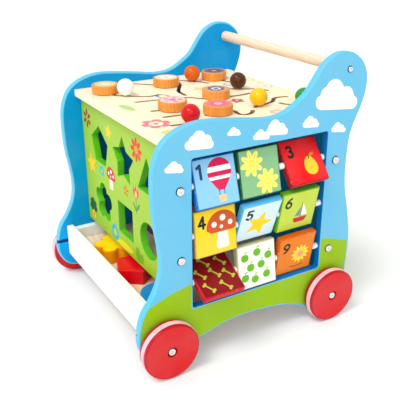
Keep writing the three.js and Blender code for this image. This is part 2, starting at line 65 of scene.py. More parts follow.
# ------------------------------------------- the same numbers as the CAD, in mm
GAP = 0.3
PANEL_T, PANEL_OUT = 12.0, 177.8
PANEL_IN = PANEL_OUT - PANEL_T
BOARD_HALF = PANEL_IN - GAP
BOARD_T = 12.0
WINDOW = dict(y0=-107.75, y1=129.25, z0=94.7, z1=328.5, r=3.6)
SORTER = dict(front=-131.95, z0=112.5, z1=343.4)
TOP = dict(y0=-143.15, y1=170.75, z0=343.7, z1=355.7)
REAR = dict(y0=142.25, z0=79.3, z1=343.4)
FLOOR = dict(z0=73.0, z1=79.0, y0=-165.95, y1=154.25)
TRAY_FRONT = dict(y0=-178.25, z0=48.5, z1=106.0)
TRAY_SIDE = dict(t=12.0, y1=-108.0, z1=100.3)
BAR = dict(r=9.0, y=162.95, z=419.0)
AXLE_Y = dict(front=-154.95, rear=147.05)
AXLE_Z = 46.0
WHEEL_FACE = 180.3
ROD = dict(x=169.8, r=2.5, z=[285.5, 209.0, 132.6], seat=9.0)
TILE = dict(w=71.0, h=72.0, t=11.0, pitch=75.0, y_mid=7.75)
SLOT_W = 6.4
DISC_R, DISC_T, BALL_R, LIFT = 22.5, 14.5, 14.0, 0.6
BLOCK_T, BLOCK_Z, BLOCK_PLAY = 25.0, 79.3, 1.5
BOLTS = {"front_upper": (-126.45, 285.1), "front_lower": (-126.45, 178.4), "rear_upper": (148.25, 279.2), "rear_lower": (148.25, 125.3)}
OUTLINE = [
    (154.5, 445.6), (144.0, 445.7), (132.5, 442.3), (122.0, 436.8), (113.3, 429.4), (105.5, 419.9),
    (97.7, 408.9), (90.3, 398.8), (82.6, 390.8), (72.9, 384.1), (60.7, 376.6), (47.9, 370.4),
    (33.5, 367.0), (15.9, 366.4), (-2.3, 368.3), (-20.4, 371.1), (-38.2, 373.5), (-55.4, 375.7),
    (-72.4, 377.5), (-89.2, 378.6), (-105.4, 377.7), (-121.7, 374.3), (-135.4, 368.9), (-146.4, 361.9),
    (-155.1, 352.6), (-161.4, 341.2), (-165.6, 328.6), (-168.2, 313.0), (-168.9, 296.0), (-168.7, 278.0),
    (-167.9, 258.0), (-165.8, 239.0), (-162.6, 219.2), (-160.0, 199.0), (-159.2, 182.0), (-160.2, 167.9),
    (-163.5, 153.2), (-169.3, 139.5), (-177.2, 125.6), (-186.4, 113.0), (-192.2, 102.0), (-196.1, 88.5),
    (-198.2, 73.5), (-198.2, 59.5), (-194.8, 46.0), (-187.8, 33.6), (-178.0, 25.0), (-163.4, 20.4),
    (-146.0, 19.4), (-128.0, 22.6), (-112.0, 29.8), (-96.6, 36.6), (-77.0, 42.0), (-57.4, 46.6),
    (-37.6, 50.0), (-17.5, 51.2), (3.0, 50.6), (23.6, 48.9), (42.9, 46.6), (64.0, 42.3),
    (86.4, 35.6), (101.0, 29.2), (114.0, 22.6), (130.0, 18.6), (147.0, 18.2), (163.0, 21.6),
    (177.0, 30.6), (186.2, 44.0), (189.9, 60.0), (191.5, 81.2), (192.9, 105.2), (193.2, 127.0),
    (191.9, 146.0), (188.6, 167.1), (182.5, 196.1), (176.4, 222.0), (173.4, 245.0), (172.5, 268.0),
    (172.9, 290.0), (174.4, 309.0), (178.2, 325.6), (184.2, 340.3), (190.3, 353.0), (195.4, 366.0),
    (199.1, 378.5), (200.8, 391.4), (200.3, 404.4), (197.0, 416.0), (189.2, 428.1), (177.5, 438.2),
    (166.5, 443.6),
]
HOLES = {
    "pentagon": dict(at=(-92.5, 271.5), r=36.0), "star": dict(at=(1.8, 275.0), r=40.5, r2=23.0),
    "triangle": dict(at=(87.0, 268.5), side=66.0), "flower": dict(at=(-89.4, 171.0), r=35.0),
    "square": dict(at=(0.2, 170.0), side=56.0), "circle": dict(at=(84.8, 170.0), r=30.0),
}
TOKENS = {
    "disc_green": dict(at=(-114.6, -106.3), dir=(-0.380, 0.925), run=(-6, 36)),
    "disc_gold": dict(at=(-105.7, 3.9), dir=(-0.717, -0.697), run=(-12, 44), after=[(-143.2, -32.6), (-149.0, -38.2)]),
    "disc_navy": dict(at=(-106.2, 102.1), dir=(0.952, 0.305), run=(-12, 32), after=[(-63.0, 117.5), (-53.0, 128.0)]),
    "disc_pink": dict(at=(33.7, -58.3), dir=(0.2202, 0.9755), run=(-32, 18), after=[(44.5, -31.5), (55.0, -31.0), (64.0, -39.0), (67.5, -56.0), (66.5, -74.0), (65.0, -89.0)]),
    "disc_spots": dict(at=(8.4, 35.3), dir=(0.265, 0.964), run=(-21, 20), before=[(-5.0, 6.0), (-15.5, -3.0), (-20.5, -22.0), (-25.5, -45.0), (-30.0, -66.0), (-33.0, -88.0)], after=[(15.5, 70.0), (15.5, 84.0), (13.0, 99.0)]),
    "disc_ring": dict(at=(88.4, -10.8), dir=(-0.0405, 0.9992), run=(-20, 20), after=[(91.5, 16.8), (100.5, 15.2), (110.0, 15.0), (116.0, 22.0), (112.5, 34.0), (102.5, 43.0)]),
    "ball_white": dict(at=(-77.6, -85.8), dir=(0.657, 0.7539), run=(-5, 24), before=[(-88.0, -97.5), (-97.0, -101.5)], after=[(-54.5, -52.0), (-57.0, -35.0)]),
    "ball_orange": dict(at=(-110.7, 58.9), dir=(-0.7785, -0.6276), run=(-6, 24), before=[(-95.0, 71.5), (-84.0, 76.5)], after=[(-128.5, 38.0), (-116.0, 33.0), (-97.0, 26.0), (-78.0, 14.0), (-60.0, 3.5), (-40.0, 0.5), (-31.0, 0.5)]),
    "ball_brown": dict(at=(-21.5, 97.9), dir=(0.508, 0.8613), run=(-20, 24), after=[(0.5, 130.0), (13.0, 134.5)]),
    "ball_red": dict(at=(112.4, -71.7), dir=(0.160, 0.987), run=(-28, 6), after=[(117.0, -54.0), (127.5, -45.0)]),
    "ball_yellow": dict(at=(87.3, 63.9), dir=(-0.280, 0.960), run=(-8, 26), after=[(73.5, 102.0), (62.0, 112.5), (59.5, 124.5), (63.5, 137.0)]),
    "ball_green": dict(at=(121.3, 125.4), dir=(0.7645, 0.6446), run=(-22, 13), before=[(97.5, 106.0), (90.0, 104.5)]),
}
TILES = {
    "tile_1_blue": (0, 0, -17, 0), "tile_2_flowers": (1, 0, -13.5, 0), "tile_3_red": (2, 0, -38, 5.6),
    "tile_4_yellow": (0, 1, -6.5, 0), "tile_5_star": (1, 1, 20, 0), "tile_6_lime": (2, 1, 12, 0),
    "tile_7_maroon": (0, 2, -62.5, 0), "tile_8_apples": (1, 2, -8, 0), "tile_9_orange": (2, 2, 10, 0),
}
BLOCKS = {
    "block_flower": ("flower", -61.0, -131.5, 15.3), "block_pentagon": ("pentagon", 23.5, -130.5, -18.7),
    "block_circle": ("circle", 124.4, -136.5, 0), "block_star": ("star", -116.0, 92.0, 0),
    "block_square": ("square", -125.0, -12.0, 0), "block_triangle": ("triangle", 108.0, 95.0, 0),
}


# ---------------------------------------------------------------------- colours
def lin(r, g, b):
    """sRGB 0..255 to linear, as numbers a shader takes."""
    f = lambda c: c / 12.92 if c <= 0.04045 else ((c + 0.055) / 1.055) ** 2.4
    return (f(r / 255), f(g / 255), f(b / 255))


SKY = lin(108, 188, 221)
SKY_EDGE = lin(98, 186, 219)
DEEP = lin(0, 150, 216)
HILL = lin(146, 186, 30)
CLOUD = lin(250, 252, 252)
LIME = lin(158, 197, 50)
LIME_EDGE = lin(96, 192, 36)
WHITE = lin(244, 244, 240)
INK = lin(32, 30, 34)
RAW = lin(214, 172, 118)


# ----------------------------------------------------------------- 2-D geometry
def area(p):
    p = np.asarray(p)
    x, y = p[:, 0], p[:, 1]
    return 0.5 * float(np.sum(x * np.roll(y, -1) - np.roll(x, -1) * y))


def ccw(p):
    return list(p) if area(p) > 0 else list(p)[::-1]


def cw(p):
    return list(p) if area(p) < 0 else list(p)[::-1]


def miters(p):
    """For a closed loop with the material on its left, the vector that moves each corner 1 mm into the material."""
    p = np.asarray(p, float)
    e1 = np.roll(p, -1, 0) - p
    e1 /= np.maximum(np.linalg.norm(e1, axis=1), 1e-12)[:, None]
    e0 = np.roll(e1, 1, 0)
    n0 = np.stack([-e0[:, 1], e0[:, 0]], 1)
    n1 = np.stack([-e1[:, 1], e1[:, 0]], 1)
    d = np.maximum(1 + (n0 * n1).sum(1), 0.25)
    return (n0 + n1) / d[:, None]


def inset(p, d):
    return [tuple(q) for q in np.asarray(p, float) + miters(p) * d]


def circle(cx, cy, r, n=24, a0=0.0):
    return [(cx + r * math.cos(a0 + i * 2 * math.pi / n), cy + r * math.sin(a0 + i * 2 * math.pi / n)) for i in range(n)]


def ellipse(cx, cy, a, b, turn=0.0, n=24):
    c, s = math.cos(turn), math.sin(turn)
    out = []
    for i in range(n):
        t = i * 2 * math.pi / n
        x, y = a * math.cos(t), b * math.sin(t)
        out.append((cx + x * c - y * s, cy + x * s + y * c))
    return out


def rounded_rect(x0, y0, x1, y1, r, steps=8):
    out = []
    for cx, cy, a0 in ((x1 - r, y1 - r, 0), (x0 + r, y1 - r, 90), (x0 + r, y0 + r, 180), (x1 - r, y0 + r, 270)):
        for i in range(steps + 1):
            a = math.radians(a0 + 90 * i / steps)
            out.append((cx + r * math.cos(a), cy + r * math.sin(a)))
    return out


def softened(p, r, steps=5):
    """Closed polygon with each corner rounded to about r."""
    p = [np.array(q, float) for q in p]
    out = []
    for i, c in enumerate(p):
        a, b = p[i - 1], p[(i + 1) % len(p)]
        da, db = a - c, b - c
        la, lb = np.linalg.norm(da), np.linalg.norm(db)
        da, db = da / la, db / lb
        half = math.acos(max(-1, min(1, float(da @ db)))) / 2
        if half > math.radians(86):
            out.append(tuple(c))
            continue
        cut = min(r / math.tan(half), la * 0.45, lb * 0.45)
        s, e = c + da * cut, c + db * cut
        for k in range(steps + 1):
            t = k / steps
            q = s * (1 - t) ** 2 + c * 2 * t * (1 - t) + e * t * t
            out.append(tuple(q))
    return out


def star(cx, cy, r, r2, n=5, turn=math.pi / 2):
    return [(cx + (r2 if i % 2 else r) * math.cos(turn + i * math.pi / n), cy + (r2 if i % 2 else r) * math.sin(turn + i * math.pi / n)) for i in range(2 * n)]


def petals(cx, cy, r, n, deep=0.55, turn=math.pi / 2, steps=10):
    """Outline of a flower with n round petals."""
    out = []
    for i in range(n * steps):
        t = 2 * math.pi * i / (n * steps)
        k = abs(math.cos(n * t / 2))
        rr = r * (deep + (1 - deep) * k ** 0.62)
        out.append((cx + rr * math.cos(t + turn), cy + rr * math.sin(t + turn)))
    return out


def spline(points, per, closed=False):
    """Uniform Catmull-Rom through the points."""
    p = np.asarray(points, float)
    n = len(p)
    out = []
    for i in range(n if closed else n - 1):
        if closed:
            a, b, c, d = p[(i - 1) % n], p[i], p[(i + 1) % n], p[(i + 2) % n]
        else:
            a, b, c, d = p[max(i - 1, 0)], p[i], p[i + 1], p[min(i + 2, n - 1)]
        for k in range(per):
            t = k / per
            v0, v1 = (c - a) * 0.5, (d - b) * 0.5
            out.append(tuple((2 * b - 2 * c + v0 + v1) * t ** 3 + (-3 * b + 3 * c - 2 * v0 - v1) * t ** 2 + v0 * t + b))
    if not closed:
        out.append(tuple(p[-1]))
    return out


def band(line, width, cap=6):
    """Band of constant width along an open line, with round ends."""
    p = np.asarray(line, float)
    h = width / 2
    d = p[1:] - p[:-1]
    d /= np.linalg.norm(d, axis=1)[:, None]
    left, rght = [], []
    for i, q in enumerate(p):
        a, b = d[max(i - 1, 0)], d[min(i, len(d) - 1)]
        m = np.array([-(a[1] + b[1]), a[0] + b[0]])
        m /= np.linalg.norm(m)
        k = h / max(0.5, float(m @ np.array([-a[1], a[0]])))
        left.append(tuple(q + m * k))
        rght.append(tuple(q - m * k))
    def capped(c, v):
        out = []
        for i in range(1, cap):
            t = math.pi / 2 - i * math.pi / cap
            out.append((c[0] + h * (v[0] * math.cos(t) - v[1] * math.sin(t)), c[1] + h * (v[1] * math.cos(t) + v[0] * math.sin(t))))
        return out
    def clear(q):
        """False for a point that a tight bend has pushed into the band itself."""
        q = np.asarray(q)
        w = q - p[:-1]
        t = np.clip((w * (p[1:] - p[:-1])).sum(1) / ((p[1:] - p[:-1]) ** 2).sum(1), 0, 1)
        return np.linalg.norm(w - (p[1:] - p[:-1]) * t[:, None], axis=1).min() > h * 0.985
    return [q for q in left if clear(q)] + capped(p[-1], d[-1]) + [q for q in rght[::-1] if clear(q)] + capped(p[0], -d[0])


def slot_line(t):
    at, d = t["at"], t["dir"]
    p0, p1 = [(at[0] + d[0] * s, at[1] + d[1] * s) for s in t["run"]]
    def bend(a, via, tail):
        return spline([a, via, *tail], 6)[7:] if tail else []
    return bend(p1, p0, t.get("before", []))[::-1] + [p0, p1] + bend(p0, p1, t.get("after", []))


def hole_outline(kind, grow):
    h = HOLES[kind]
    if kind == "pentagon":
        return circle(0, 0, h["r"] + grow / math.cos(math.pi / 5), 5, math.pi / 2)
    if kind == "circle":
        return circle(0, 0, h["r"] + grow, 72)
    if kind == "square":
        s = h["side"] / 2 + grow
        return [(-s, -s), (s, -s), (s, s), (-s, s)]
    if kind == "triangle":
        return circle(0, 0, h["side"] / math.sqrt(3) + 2 * grow, 3, math.pi / 2)
    if kind == "star":
        return [((h["r2"] + grow * 1.15 if i % 2 else h["r"] + grow * 1.5) * math.cos(math.pi / 2 + i * math.pi / 5),
                 (h["r2"] + grow * 1.15 if i % 2 else h["r"] + grow * 1.5) * math.sin(math.pi / 2 + i * math.pi / 5)) for i in range(10)]
    out, c = [], h["r"] * 0.6 + grow * 0.2
    pr = h["r"] - c + grow
    for i in range(5):
        a = math.pi / 2 + i * math.pi / 2.5
        for k in range(-8, 9):
            t = a + k * 1.62 / 8
            out.append((c * math.cos(a) + pr * math.cos(t), c * math.sin(a) + pr * math.sin(t)))
    return out


# ---------------------------------------------------------------- mesh building
class Skin:
    """Collects faces with a colour and an edge mark at each, in millimetres."""

    def __init__(self):
        self.v, self.f, self.c, self.e = [], [], [], []

    def add(self, verts):
        k = len(self.v)
        self.v.extend(verts)
        return k

    def face(self, idx, colour, edge=0.0):
        self.f.append(list(idx))
        self.c.append(colour)
        self.e.append(edge)

    def mesh(self, name, matrix=None, angle=38.0):
        me = bpy.data.meshes.new(name)
        me.from_pydata([(a * MM, b * MM, c * MM) for a, b, c in self.v], [], self.f)
        me.attributes.new("paint", "FLOAT_COLOR", "CORNER")
        me.attributes.new("edge", "FLOAT", "CORNER")
        cols, ed = [], []
        for face, c, e in zip(self.f, self.c, self.e):
            c4 = tuple(c) if len(c) == 4 else (*c, 1.0)
            for _ in face:
                cols.extend(c4)
                ed.append(e)
        me.attributes["paint"].data.foreach_set("color", np.array(cols, np.float32))
        me.attributes["edge"].data.foreach_set("value", np.array(ed, np.float32))
        me.validate()
        me.update()
        o = bpy.data.objects.new(name, me)
        scene.collection.objects.link(o)
        if matrix is not None:
            o.matrix_world = matrix
        o["angle"] = angle
        return o


def loops_of(tris):
    """Boundary loops of counterclockwise triangles, material on the left."""
    edges = set()
    for t in tris:
        for a, b in zip(t, t[1:] + t[:1]):
            edges.add((a, b))
    nxt = {}
    for a, b in edges:
        if (b, a) not in edges:
            nxt.setdefault(a, []).append(b)
    loops = []
    while nxt:
        start = next(iter(nxt))
        loop, cur = [], start
        while True:
            loop.append(cur)
            b = nxt[cur].pop()
            if not nxt[cur]:
                del nxt[cur]
            cur = b
            if cur == start:
                break
        loops.append(loop)
    return loops


def flat(outer, holes, prints, colour):
    """Triangles of a printed flat face. Later prints lie on earlier ones."""
    verts, faces, index = [], [], {}
    def put(poly):
        ids = []
        for q in ccw(poly):
            k = (round(q[0], 4), round(q[1], 4))
            if k not in index:
                index[k] = len(verts)
                verts.append(Vector(k))
            if not ids or ids[-1] != index[k]:
                ids.append(index[k])
        if ids[0] == ids[-1]:
            ids.pop()
        faces.append(ids)
    for p in [outer, *holes, *[q[0] for q in prints]]:
        put(p)
    vo, _, fo, _, _, of = delaunay_2d_cdt(verts, [], faces, 1, 1e-5, True)
    nh = len(holes)
    tris, cols = [], []
    for f, src in zip(fo, of):
        s = set(src)
        if 0 not in s or any(1 + i in s for i in range(nh)):
            continue
        top = [k for k in s if k > nh]
        tris.append(list(f))
        cols.append(prints[max(top) - 1 - nh][1] if top else colour)
    return [(v.x, v.y) for v in vo], tris, cols


def plate(name, outer, holes, t, round_front, round_back, colours, prints=(), matrix=None, steps=5, edge_holes=None, back_prints=()):
    """A board with printed face, eased edges and through holes. The front face is w = t, the back w = 0. colours: front, edge, back, and hole walls if they differ."""
    front_c, edge_c, back_c = colours[:3]
    hole_c = colours[3] if len(colours) > 3 else edge_c
    r = max(round_front, 0.01)
    rh = edge_holes if edge_holes is not None else r
    outer_in = inset(ccw(outer), r)
    holes_in = [inset(cw(h), rh) for h in holes]
    pts, tris, cols = flat(outer_in, holes_in, list(prints), front_c)
    s = Skin()
    k0 = s.add([(a, b, t) for a, b in pts])
    for tr, c in zip(tris, cols):
        s.face([k0 + i for i in tr], c)
    loops = loops_of(tris)
    loops.sort(key=lambda l: -abs(area([pts[i] for i in l])))
    back_loops = []
    for n, loop in enumerate(loops):
        p = np.array([pts[i] for i in loop])
        m = miters(p)
        rf, rb = (r, max(round_back, 0.01)) if n == 0 else (rh, min(rh, max(round_back, 0.01)))
        wall = edge_c if n == 0 else hole_c
        rings = [(0.0, t)] + [(-rf * math.sin(math.pi / 2 * i / steps), t - rf * (1 - math.cos(math.pi / 2 * i / steps))) for i in range(1, steps + 1)]
        rings += [(-rf + rb * (1 - math.cos(math.pi / 2 * i / steps)), rb - rb * math.sin(math.pi / 2 * i / steps)) for i in range(0, steps + 1)]
        prev = [k0 + i for i in loop]
        cnt = len(loop)
        for j, (off, w) in enumerate(rings[1:]):
            q = p + m * off
            k = s.add([(a, b, w) for a, b in q])
            cur = [k + i for i in range(cnt)]
            bevel = 1.0 if (j < steps or j > steps + 0) and not (j == steps) else 0.0
            for i in range(cnt):
                i2 = (i + 1) % cnt
                s.face([prev[i2], prev[i], cur[i], cur[i2]], wall, bevel)
            prev = cur
        back_loops.append((prev, [(s.v[i][0], s.v[i][1]) for i in prev]))
    bp, bt, bc = flat(back_loops[0][1], [l[1] for l in back_loops[1:]], list(back_prints), back_c)
    near = {}
    for ids, poly in back_loops:
        for i, q in zip(ids, poly):
            near[(round(q[0], 3), round(q[1], 3))] = i
    lookup = {}
    for i, q in enumerate(bp):
        key = (round(q[0], 3), round(q[1], 3))
        if key not in near:
            for dx in (-0.001, 0, 0.001):
                for dy in (-0.001, 0, 0.001):
                    k2 = (round(q[0] + dx, 3), round(q[1] + dy, 3))
                    if k2 in near:
                        key = k2
        lookup[i] = near[key] if key in near else s.add([(q[0], q[1], 0.0)])
    for tr, c in zip(bt, bc):
        s.face([lookup[i] for i in tr][::-1], c)
    return s.mesh(name, matrix)


def fillet(points, steps=6):
    """points: (r, h) or (r, h, radius); corners with a radius are rounded. Returns a profile."""
    out = []
    n = len(points)
    for i, q in enumerate(points):
        c = np.array(q[:2], float)
        rad = q[2] if len(q) > 2 else 0
        if not rad or i in (0, n - 1):
            out.append(tuple(c))
            continue
        a, b = np.array(points[i - 1][:2], float), np.array(points[i + 1][:2], float)
        da, db = (a - c) / np.linalg.norm(a - c), (b - c) / np.linalg.norm(b - c)
        half = math.acos(max(-1, min(1, float(da @ db)))) / 2
        cut = min(rad / math.tan(half), np.linalg.norm(a - c) * 0.49, np.linalg.norm(b - c) * 0.49)
        rr = cut * math.tan(half)
        centre = c + (da + db) / np.linalg.norm(da + db) * (rr / math.sin(half))
        s, e = c + da * cut - centre, c + db * cut - centre
        a0, a1 = math.atan2(s[1], s[0]), math.atan2(e[1], e[0])
        d = (a1 - a0 + math.pi) % (2 * math.pi) - math.pi
        for k in range(steps + 1):
            t = a0 + d * k / steps
            out.append((centre[0] + rr * math.cos(t), centre[1] + rr * math.sin(t)))
    return out


def lathe(name, profile, n, colour, matrix=None, closed=False, shape=None, colour_at=None, angle=38.0, edge_at=None):
    """Turned body about local z. shape(j, phi) scales ring j's radius; colour_at(j) gives a segment's colour."""
    s = Skin()
    rings = []
    for j, (r, h) in enumerate(profile):
        if r < 1e-6:
            rings.append([s.add([(0, 0, h)])] * n)
            continue
        ring = []
        for i in range(n):
            a = 2 * math.pi * i / n
            k = r * (shape(j, a) if shape else 1)
            ring.append((k * math.cos(a), k * math.sin(a), h))
        k0 = s.add(ring)
        rings.append([k0 + i for i in range(n)])
    m = len(profile)
    for j in range(m if closed else m - 1):
        a, b = rings[j], rings[(j + 1) % m]
        c = colour_at(j) if colour_at else colour
        e = edge_at(j) if edge_at else 0.0
        for i in range(n):
            i2 = (i + 1) % n
            f = []
            for q in (a[i], a[i2], b[i2], b[i]):
                if q not in f:
                    f.append(q)
            if len(f) > 2:
                s.face(f, c, e)
    return s.mesh(name, matrix, angle)


def frame_of(u, v, w, at):
    """Matrix that takes local u, v, w to the given row axes at a place in mm."""
    m = Matrix.Identity(4)
    for i in range(3):
        m[i][0], m[i][1], m[i][2], m[i][3] = u[i], v[i], w[i], at[i] * MM
    return m


X, Y, Z = (1, 0, 0), (0, 1, 0), (0, 0, 1)
NX, NY, NZ = (-1, 0, 0), (0, -1, 0), (0, 0, -1)


def apply_mods(o):
    bpy.context.view_layer.update()
    dg = bpy.context.evaluated_depsgraph_get()
    me = bpy.data.meshes.new_from_object(o.evaluated_get(dg))
    old = o.data
    o.modifiers.clear()
    o.data = me
    bpy.data.meshes.remove(old)


def carve(o, cutters):
    """Cuts the cutters out of o, then removes them."""
    for i, c in enumerate(cutters):
        m = o.modifiers.new(f"cut{i}", "BOOLEAN")
        m.operation, m.solver, m.object = "DIFFERENCE", "EXACT", c
    apply_mods(o)
    for c in cutters:
        bpy.data.objects.remove(c)


def shade(o):
    me = o.data
    me.shade_smooth()
    me.set_sharp_from_angle(angle=math.radians(o.get("angle", 38.0)))
    w = o.modifiers.new("shade", "WEIGHTED_NORMAL")
    w.mode, w.weight, w.keep_sharp = "FACE_AREA", 50, True


# -------------------------------------------------------------------- materials
def nodes_of(name):
    m = bpy.data.materials.new(name)
    m.use_nodes = True
    nt = m.node_tree
    nt.nodes.clear()
    out = nt.nodes.new("ShaderNodeOutputMaterial")
    bsdf = nt.nodes.new("ShaderNodeBsdfPrincipled")
    nt.links.new(bsdf.outputs[0], out.inputs[0])
    return m, nt, bsdf


class Net:
    def __init__(self, nt):
        self.nt = nt

    def n(self, kind, **props):
        node = self.nt.nodes.new("ShaderNode" + kind)
        for k, v in props.items():
            setattr(node, k, v)
        return node

    def link(self, a, b):
        self.nt.links.new(a, b)

    def coords(self, scale, rot=(0, 0, 0), loc=(0, 0, 0)):
        tc, mp = self.n("TexCoord"), self.n("Mapping")
        mp.inputs["Scale"].default_value = scale
        mp.inputs["Rotation"].default_value = rot
        mp.inputs["Location"].default_value = loc
        self.link(tc.outputs["Object"], mp.inputs[0])
        return mp.outputs[0]

    def noise(self, vec, scale, detail=4.0, rough=0.5, distortion=0.0):
        t = self.n("TexNoise")
        t.inputs["Scale"].default_value = scale
        t.inputs["Detail"].default_value = detail
        t.inputs["Roughness"].default_value = rough
        t.inputs["Distortion"].default_value = distortion
        self.link(vec, t.inputs["Vector"])
        return t.outputs["Fac"]

    def ramp(self, fac, a, b, lo=0.0, hi=1.0):
        t = self.n("MapRange")
        t.inputs["From Min"].default_value, t.inputs["From Max"].default_value = a, b
        t.inputs["To Min"].default_value, t.inputs["To Max"].default_value = lo, hi
        self.link(fac, t.inputs["Value"])
        return t.outputs[0]

    def math(self, op, a, b):
        t = self.n("Math", operation=op)
        for i, x in enumerate((a, b)):
            if isinstance(x, (int, float)):
                t.inputs[i].default_value = x
            else:
                self.link(x, t.inputs[i])
        return t.outputs[0]

    def mix(self, fac, a, b, blend="MIX"):
        t = self.n("Mix", data_type="RGBA", blend_type=blend)
        ins = [t.inputs["Factor"] if False else t.inputs[0], t.inputs[6], t.inputs[7]]
        for s, x in zip(ins, (fac, a, b)):
            if isinstance(x, (int, float)):
                s.default_value = x
            elif isinstance(x, tuple):
                s.default_value = (*x, 1.0) if len(x) == 3 else x
            else:
                self.link(x, s)
        return t.outputs[2]

    def bump(self, height, strength, distance, normal=None):
        t = self.n("Bump")
        t.inputs["Strength"].default_value = strength
        t.inputs["Distance"].default_value = distance
        self.link(height, t.inputs["Height"])
        if normal is not None:
            self.link(normal, t.inputs["Normal"])
        return t.outputs[0]

    def attr(self, name, out):
        t = self.n("Attribute", attribute_name=name, attribute_type="GEOMETRY")
        return t.outputs[out]


def paint(name, rough=(0.3, 0.42), grain=(1, 30, 30), wood_bump=0.12, peel=0.10, coat=0.0, wear=0.35, wear_to=lin(225, 225, 215), vary=0.05, spec=0.22):
    """Paint over wood. Colour comes from the mesh; grain ghosts through, edges rub lighter."""
    m, nt, b = nodes_of(name)
    k = Net(nt)
    col = k.attr("paint", "Color")
    big = k.noise(k.coords((1, 1, 1)), 14, 3, 0.5)
    streak = k.noise(k.coords(grain), 22, 6, 0.62, 0.4)
    fine = k.noise(k.coords((1, 1, 1)), 900, 2, 0.5)
    shade_fac = k.math("ADD", k.ramp(big, 0.3, 0.7, -vary * 0.6, vary * 0.6), k.ramp(streak, 0.3, 0.7, -vary, vary))
    hsv = k.n("HueSaturation")
    k.link(col, hsv.inputs["Color"])
    k.link(k.math("ADD", shade_fac, 1.0), hsv.inputs["Value"])
    k.link(k.ramp(big, 0.3, 0.7, 0.97, 1.03), hsv.inputs["Saturation"])
    # rubbed edges
    chips = k.noise(k.coords((1, 1, 1)), 260, 5, 0.65)
    mask = k.math("MULTIPLY", k.attr("edge", "Fac"), k.ramp(chips, 0.56, 0.70, 0.0, wear))
    colour = k.mix(mask, hsv.outputs[0], wear_to)
    k.link(colour, b.inputs["Base Color"])
    smudge = k.noise(k.coords((1, 1, 1)), 35, 5, 0.6, 0.6)
    k.link(k.ramp(k.math("ADD", smudge, k.math("MULTIPLY", streak, 0.4)), 0.45, 0.95, rough[0], rough[1]), b.inputs["Roughness"])
    n1 = k.bump(streak, wood_bump, 0.0004)
    n2 = k.bump(fine, peel, 0.0001, n1)
    k.link(n2, b.inputs["Normal"])
    b.inputs["Specular IOR Level"].default_value = spec
    b.inputs["Coat Weight"].default_value = coat
    b.inputs["Coat Roughness"].default_value = 0.12
    return m


def wood(name, light, dark, along="x", rough=(0.36, 0.55), ring=70.0, figure=0.8, print_soft=0.94, coat=0.0, pores=0.5, bump=0.25):
    """Bare lacquered wood with growth bands, fibres and pores, and ink where the mesh is printed."""
    m, nt, b = nodes_of(name)
    k = Net(nt)
    st = {"x": (0.10, 1, 1), "y": (1, 0.10, 1), "z": (1, 1, 0.10)}[along]
    fi = {"x": (0.022, 1, 1), "y": (1, 0.022, 1), "z": (1, 1, 0.022)}[along]
    warp = k.noise(k.coords(st), 9, 3, 0.5, 0.3)
    bands = k.n("TexWave", wave_type="BANDS", bands_direction="DIAGONAL", wave_profile="SIN")
    bands.inputs["Scale"].default_value = ring
    bands.inputs["Distortion"].default_value = 5.0
    bands.inputs["Detail"].default_value = 3.0
    bands.inputs["Detail Scale"].default_value = 1.2
    k.link(k.coords(st), bands.inputs["Vector"])
    fibre = k.noise(k.coords(fi), 420, 5, 0.65)
    pore = k.noise(k.coords(fi), 1300, 3, 0.5)
    figure_fac = k.math("ADD", k.math("MULTIPLY", bands.outputs["Fac"], 0.45 * figure), k.math("ADD", k.math("MULTIPLY", warp, 0.55), k.math("MULTIPLY", fibre, 0.35)))
    base = k.mix(k.ramp(figure_fac, 0.35, 1.05, 0.0, 1.0), light, dark)
    base = k.mix(k.ramp(pore, 0.60, 0.72, 0.0, pores), base, tuple(c * 0.62 for c in dark))
    ink = k.attr("paint", "Alpha")
    wornink = k.math("MULTIPLY", ink, k.ramp(fibre, 0.3, 0.75, 1.0, print_soft))
    colour = k.mix(wornink, base, k.attr("paint", "Color"))
    k.link(colour, b.inputs["Base Color"])
    k.link(k.ramp(k.math("ADD", fibre, warp), 0.7, 1.3, rough[0], rough[1]), b.inputs["Roughness"])
    n1 = k.bump(fibre, bump, 0.0003)
    n2 = k.bump(pore, bump * 0.6, 0.0001, n1)
    k.link(n2, b.inputs["Normal"])
    b.inputs["Specular IOR Level"].default_value = 0.25
    b.inputs["Coat Weight"].default_value = coat
    b.inputs["Coat Roughness"].default_value = 0.2
    return m


def metal(name, colour, rough=(0.16, 0.3)):
    m, nt, b = nodes_of(name)
    k = Net(nt)
    n = k.noise(k.coords((1, 1, 1)), 700, 4, 0.6)
    scr = k.noise(k.coords((1, 18, 18)), 300, 4, 0.6)
    k.link(k.mix(k.ramp(n, 0.35, 0.7, 0, 0.35), colour, tuple(c * 0.8 for c in colour)), b.inputs["Base Color"])
    b.inputs["Metallic"].default_value = 1.0
    k.link(k.ramp(k.math("ADD", n, scr), 0.7, 1.3, rough[0], rough[1]), b.inputs["Roughness"])
    k.link(k.bump(scr, 0.08, 0.0001), b.inputs["Normal"])
    return m


def rubber(name, colour, dark):
    m, nt, b = nodes_of(name)
    k = Net(nt)
    n = k.noise(k.coords((1, 1, 1)), 60, 4, 0.6)
    f = k.noise(k.coords((1, 1, 1)), 1500, 3, 0.6)
    k.link(k.mix(k.ramp(n, 0.3, 0.72, 0.0, 1.0), colour, dark), b.inputs["Base Color"])
    k.link(k.ramp(n, 0.3, 0.7, 0.32, 0.5), b.inputs["Roughness"])
    b.inputs["Subsurface Weight"].default_value = 0.35
    b.inputs["Subsurface Radius"].default_value = (1.0, 0.4, 0.35)
    b.inputs["Subsurface Scale"].default_value = 0.003
    k.link(k.bump(f, 0.15, 0.00008), b.inputs["Normal"])
    return m


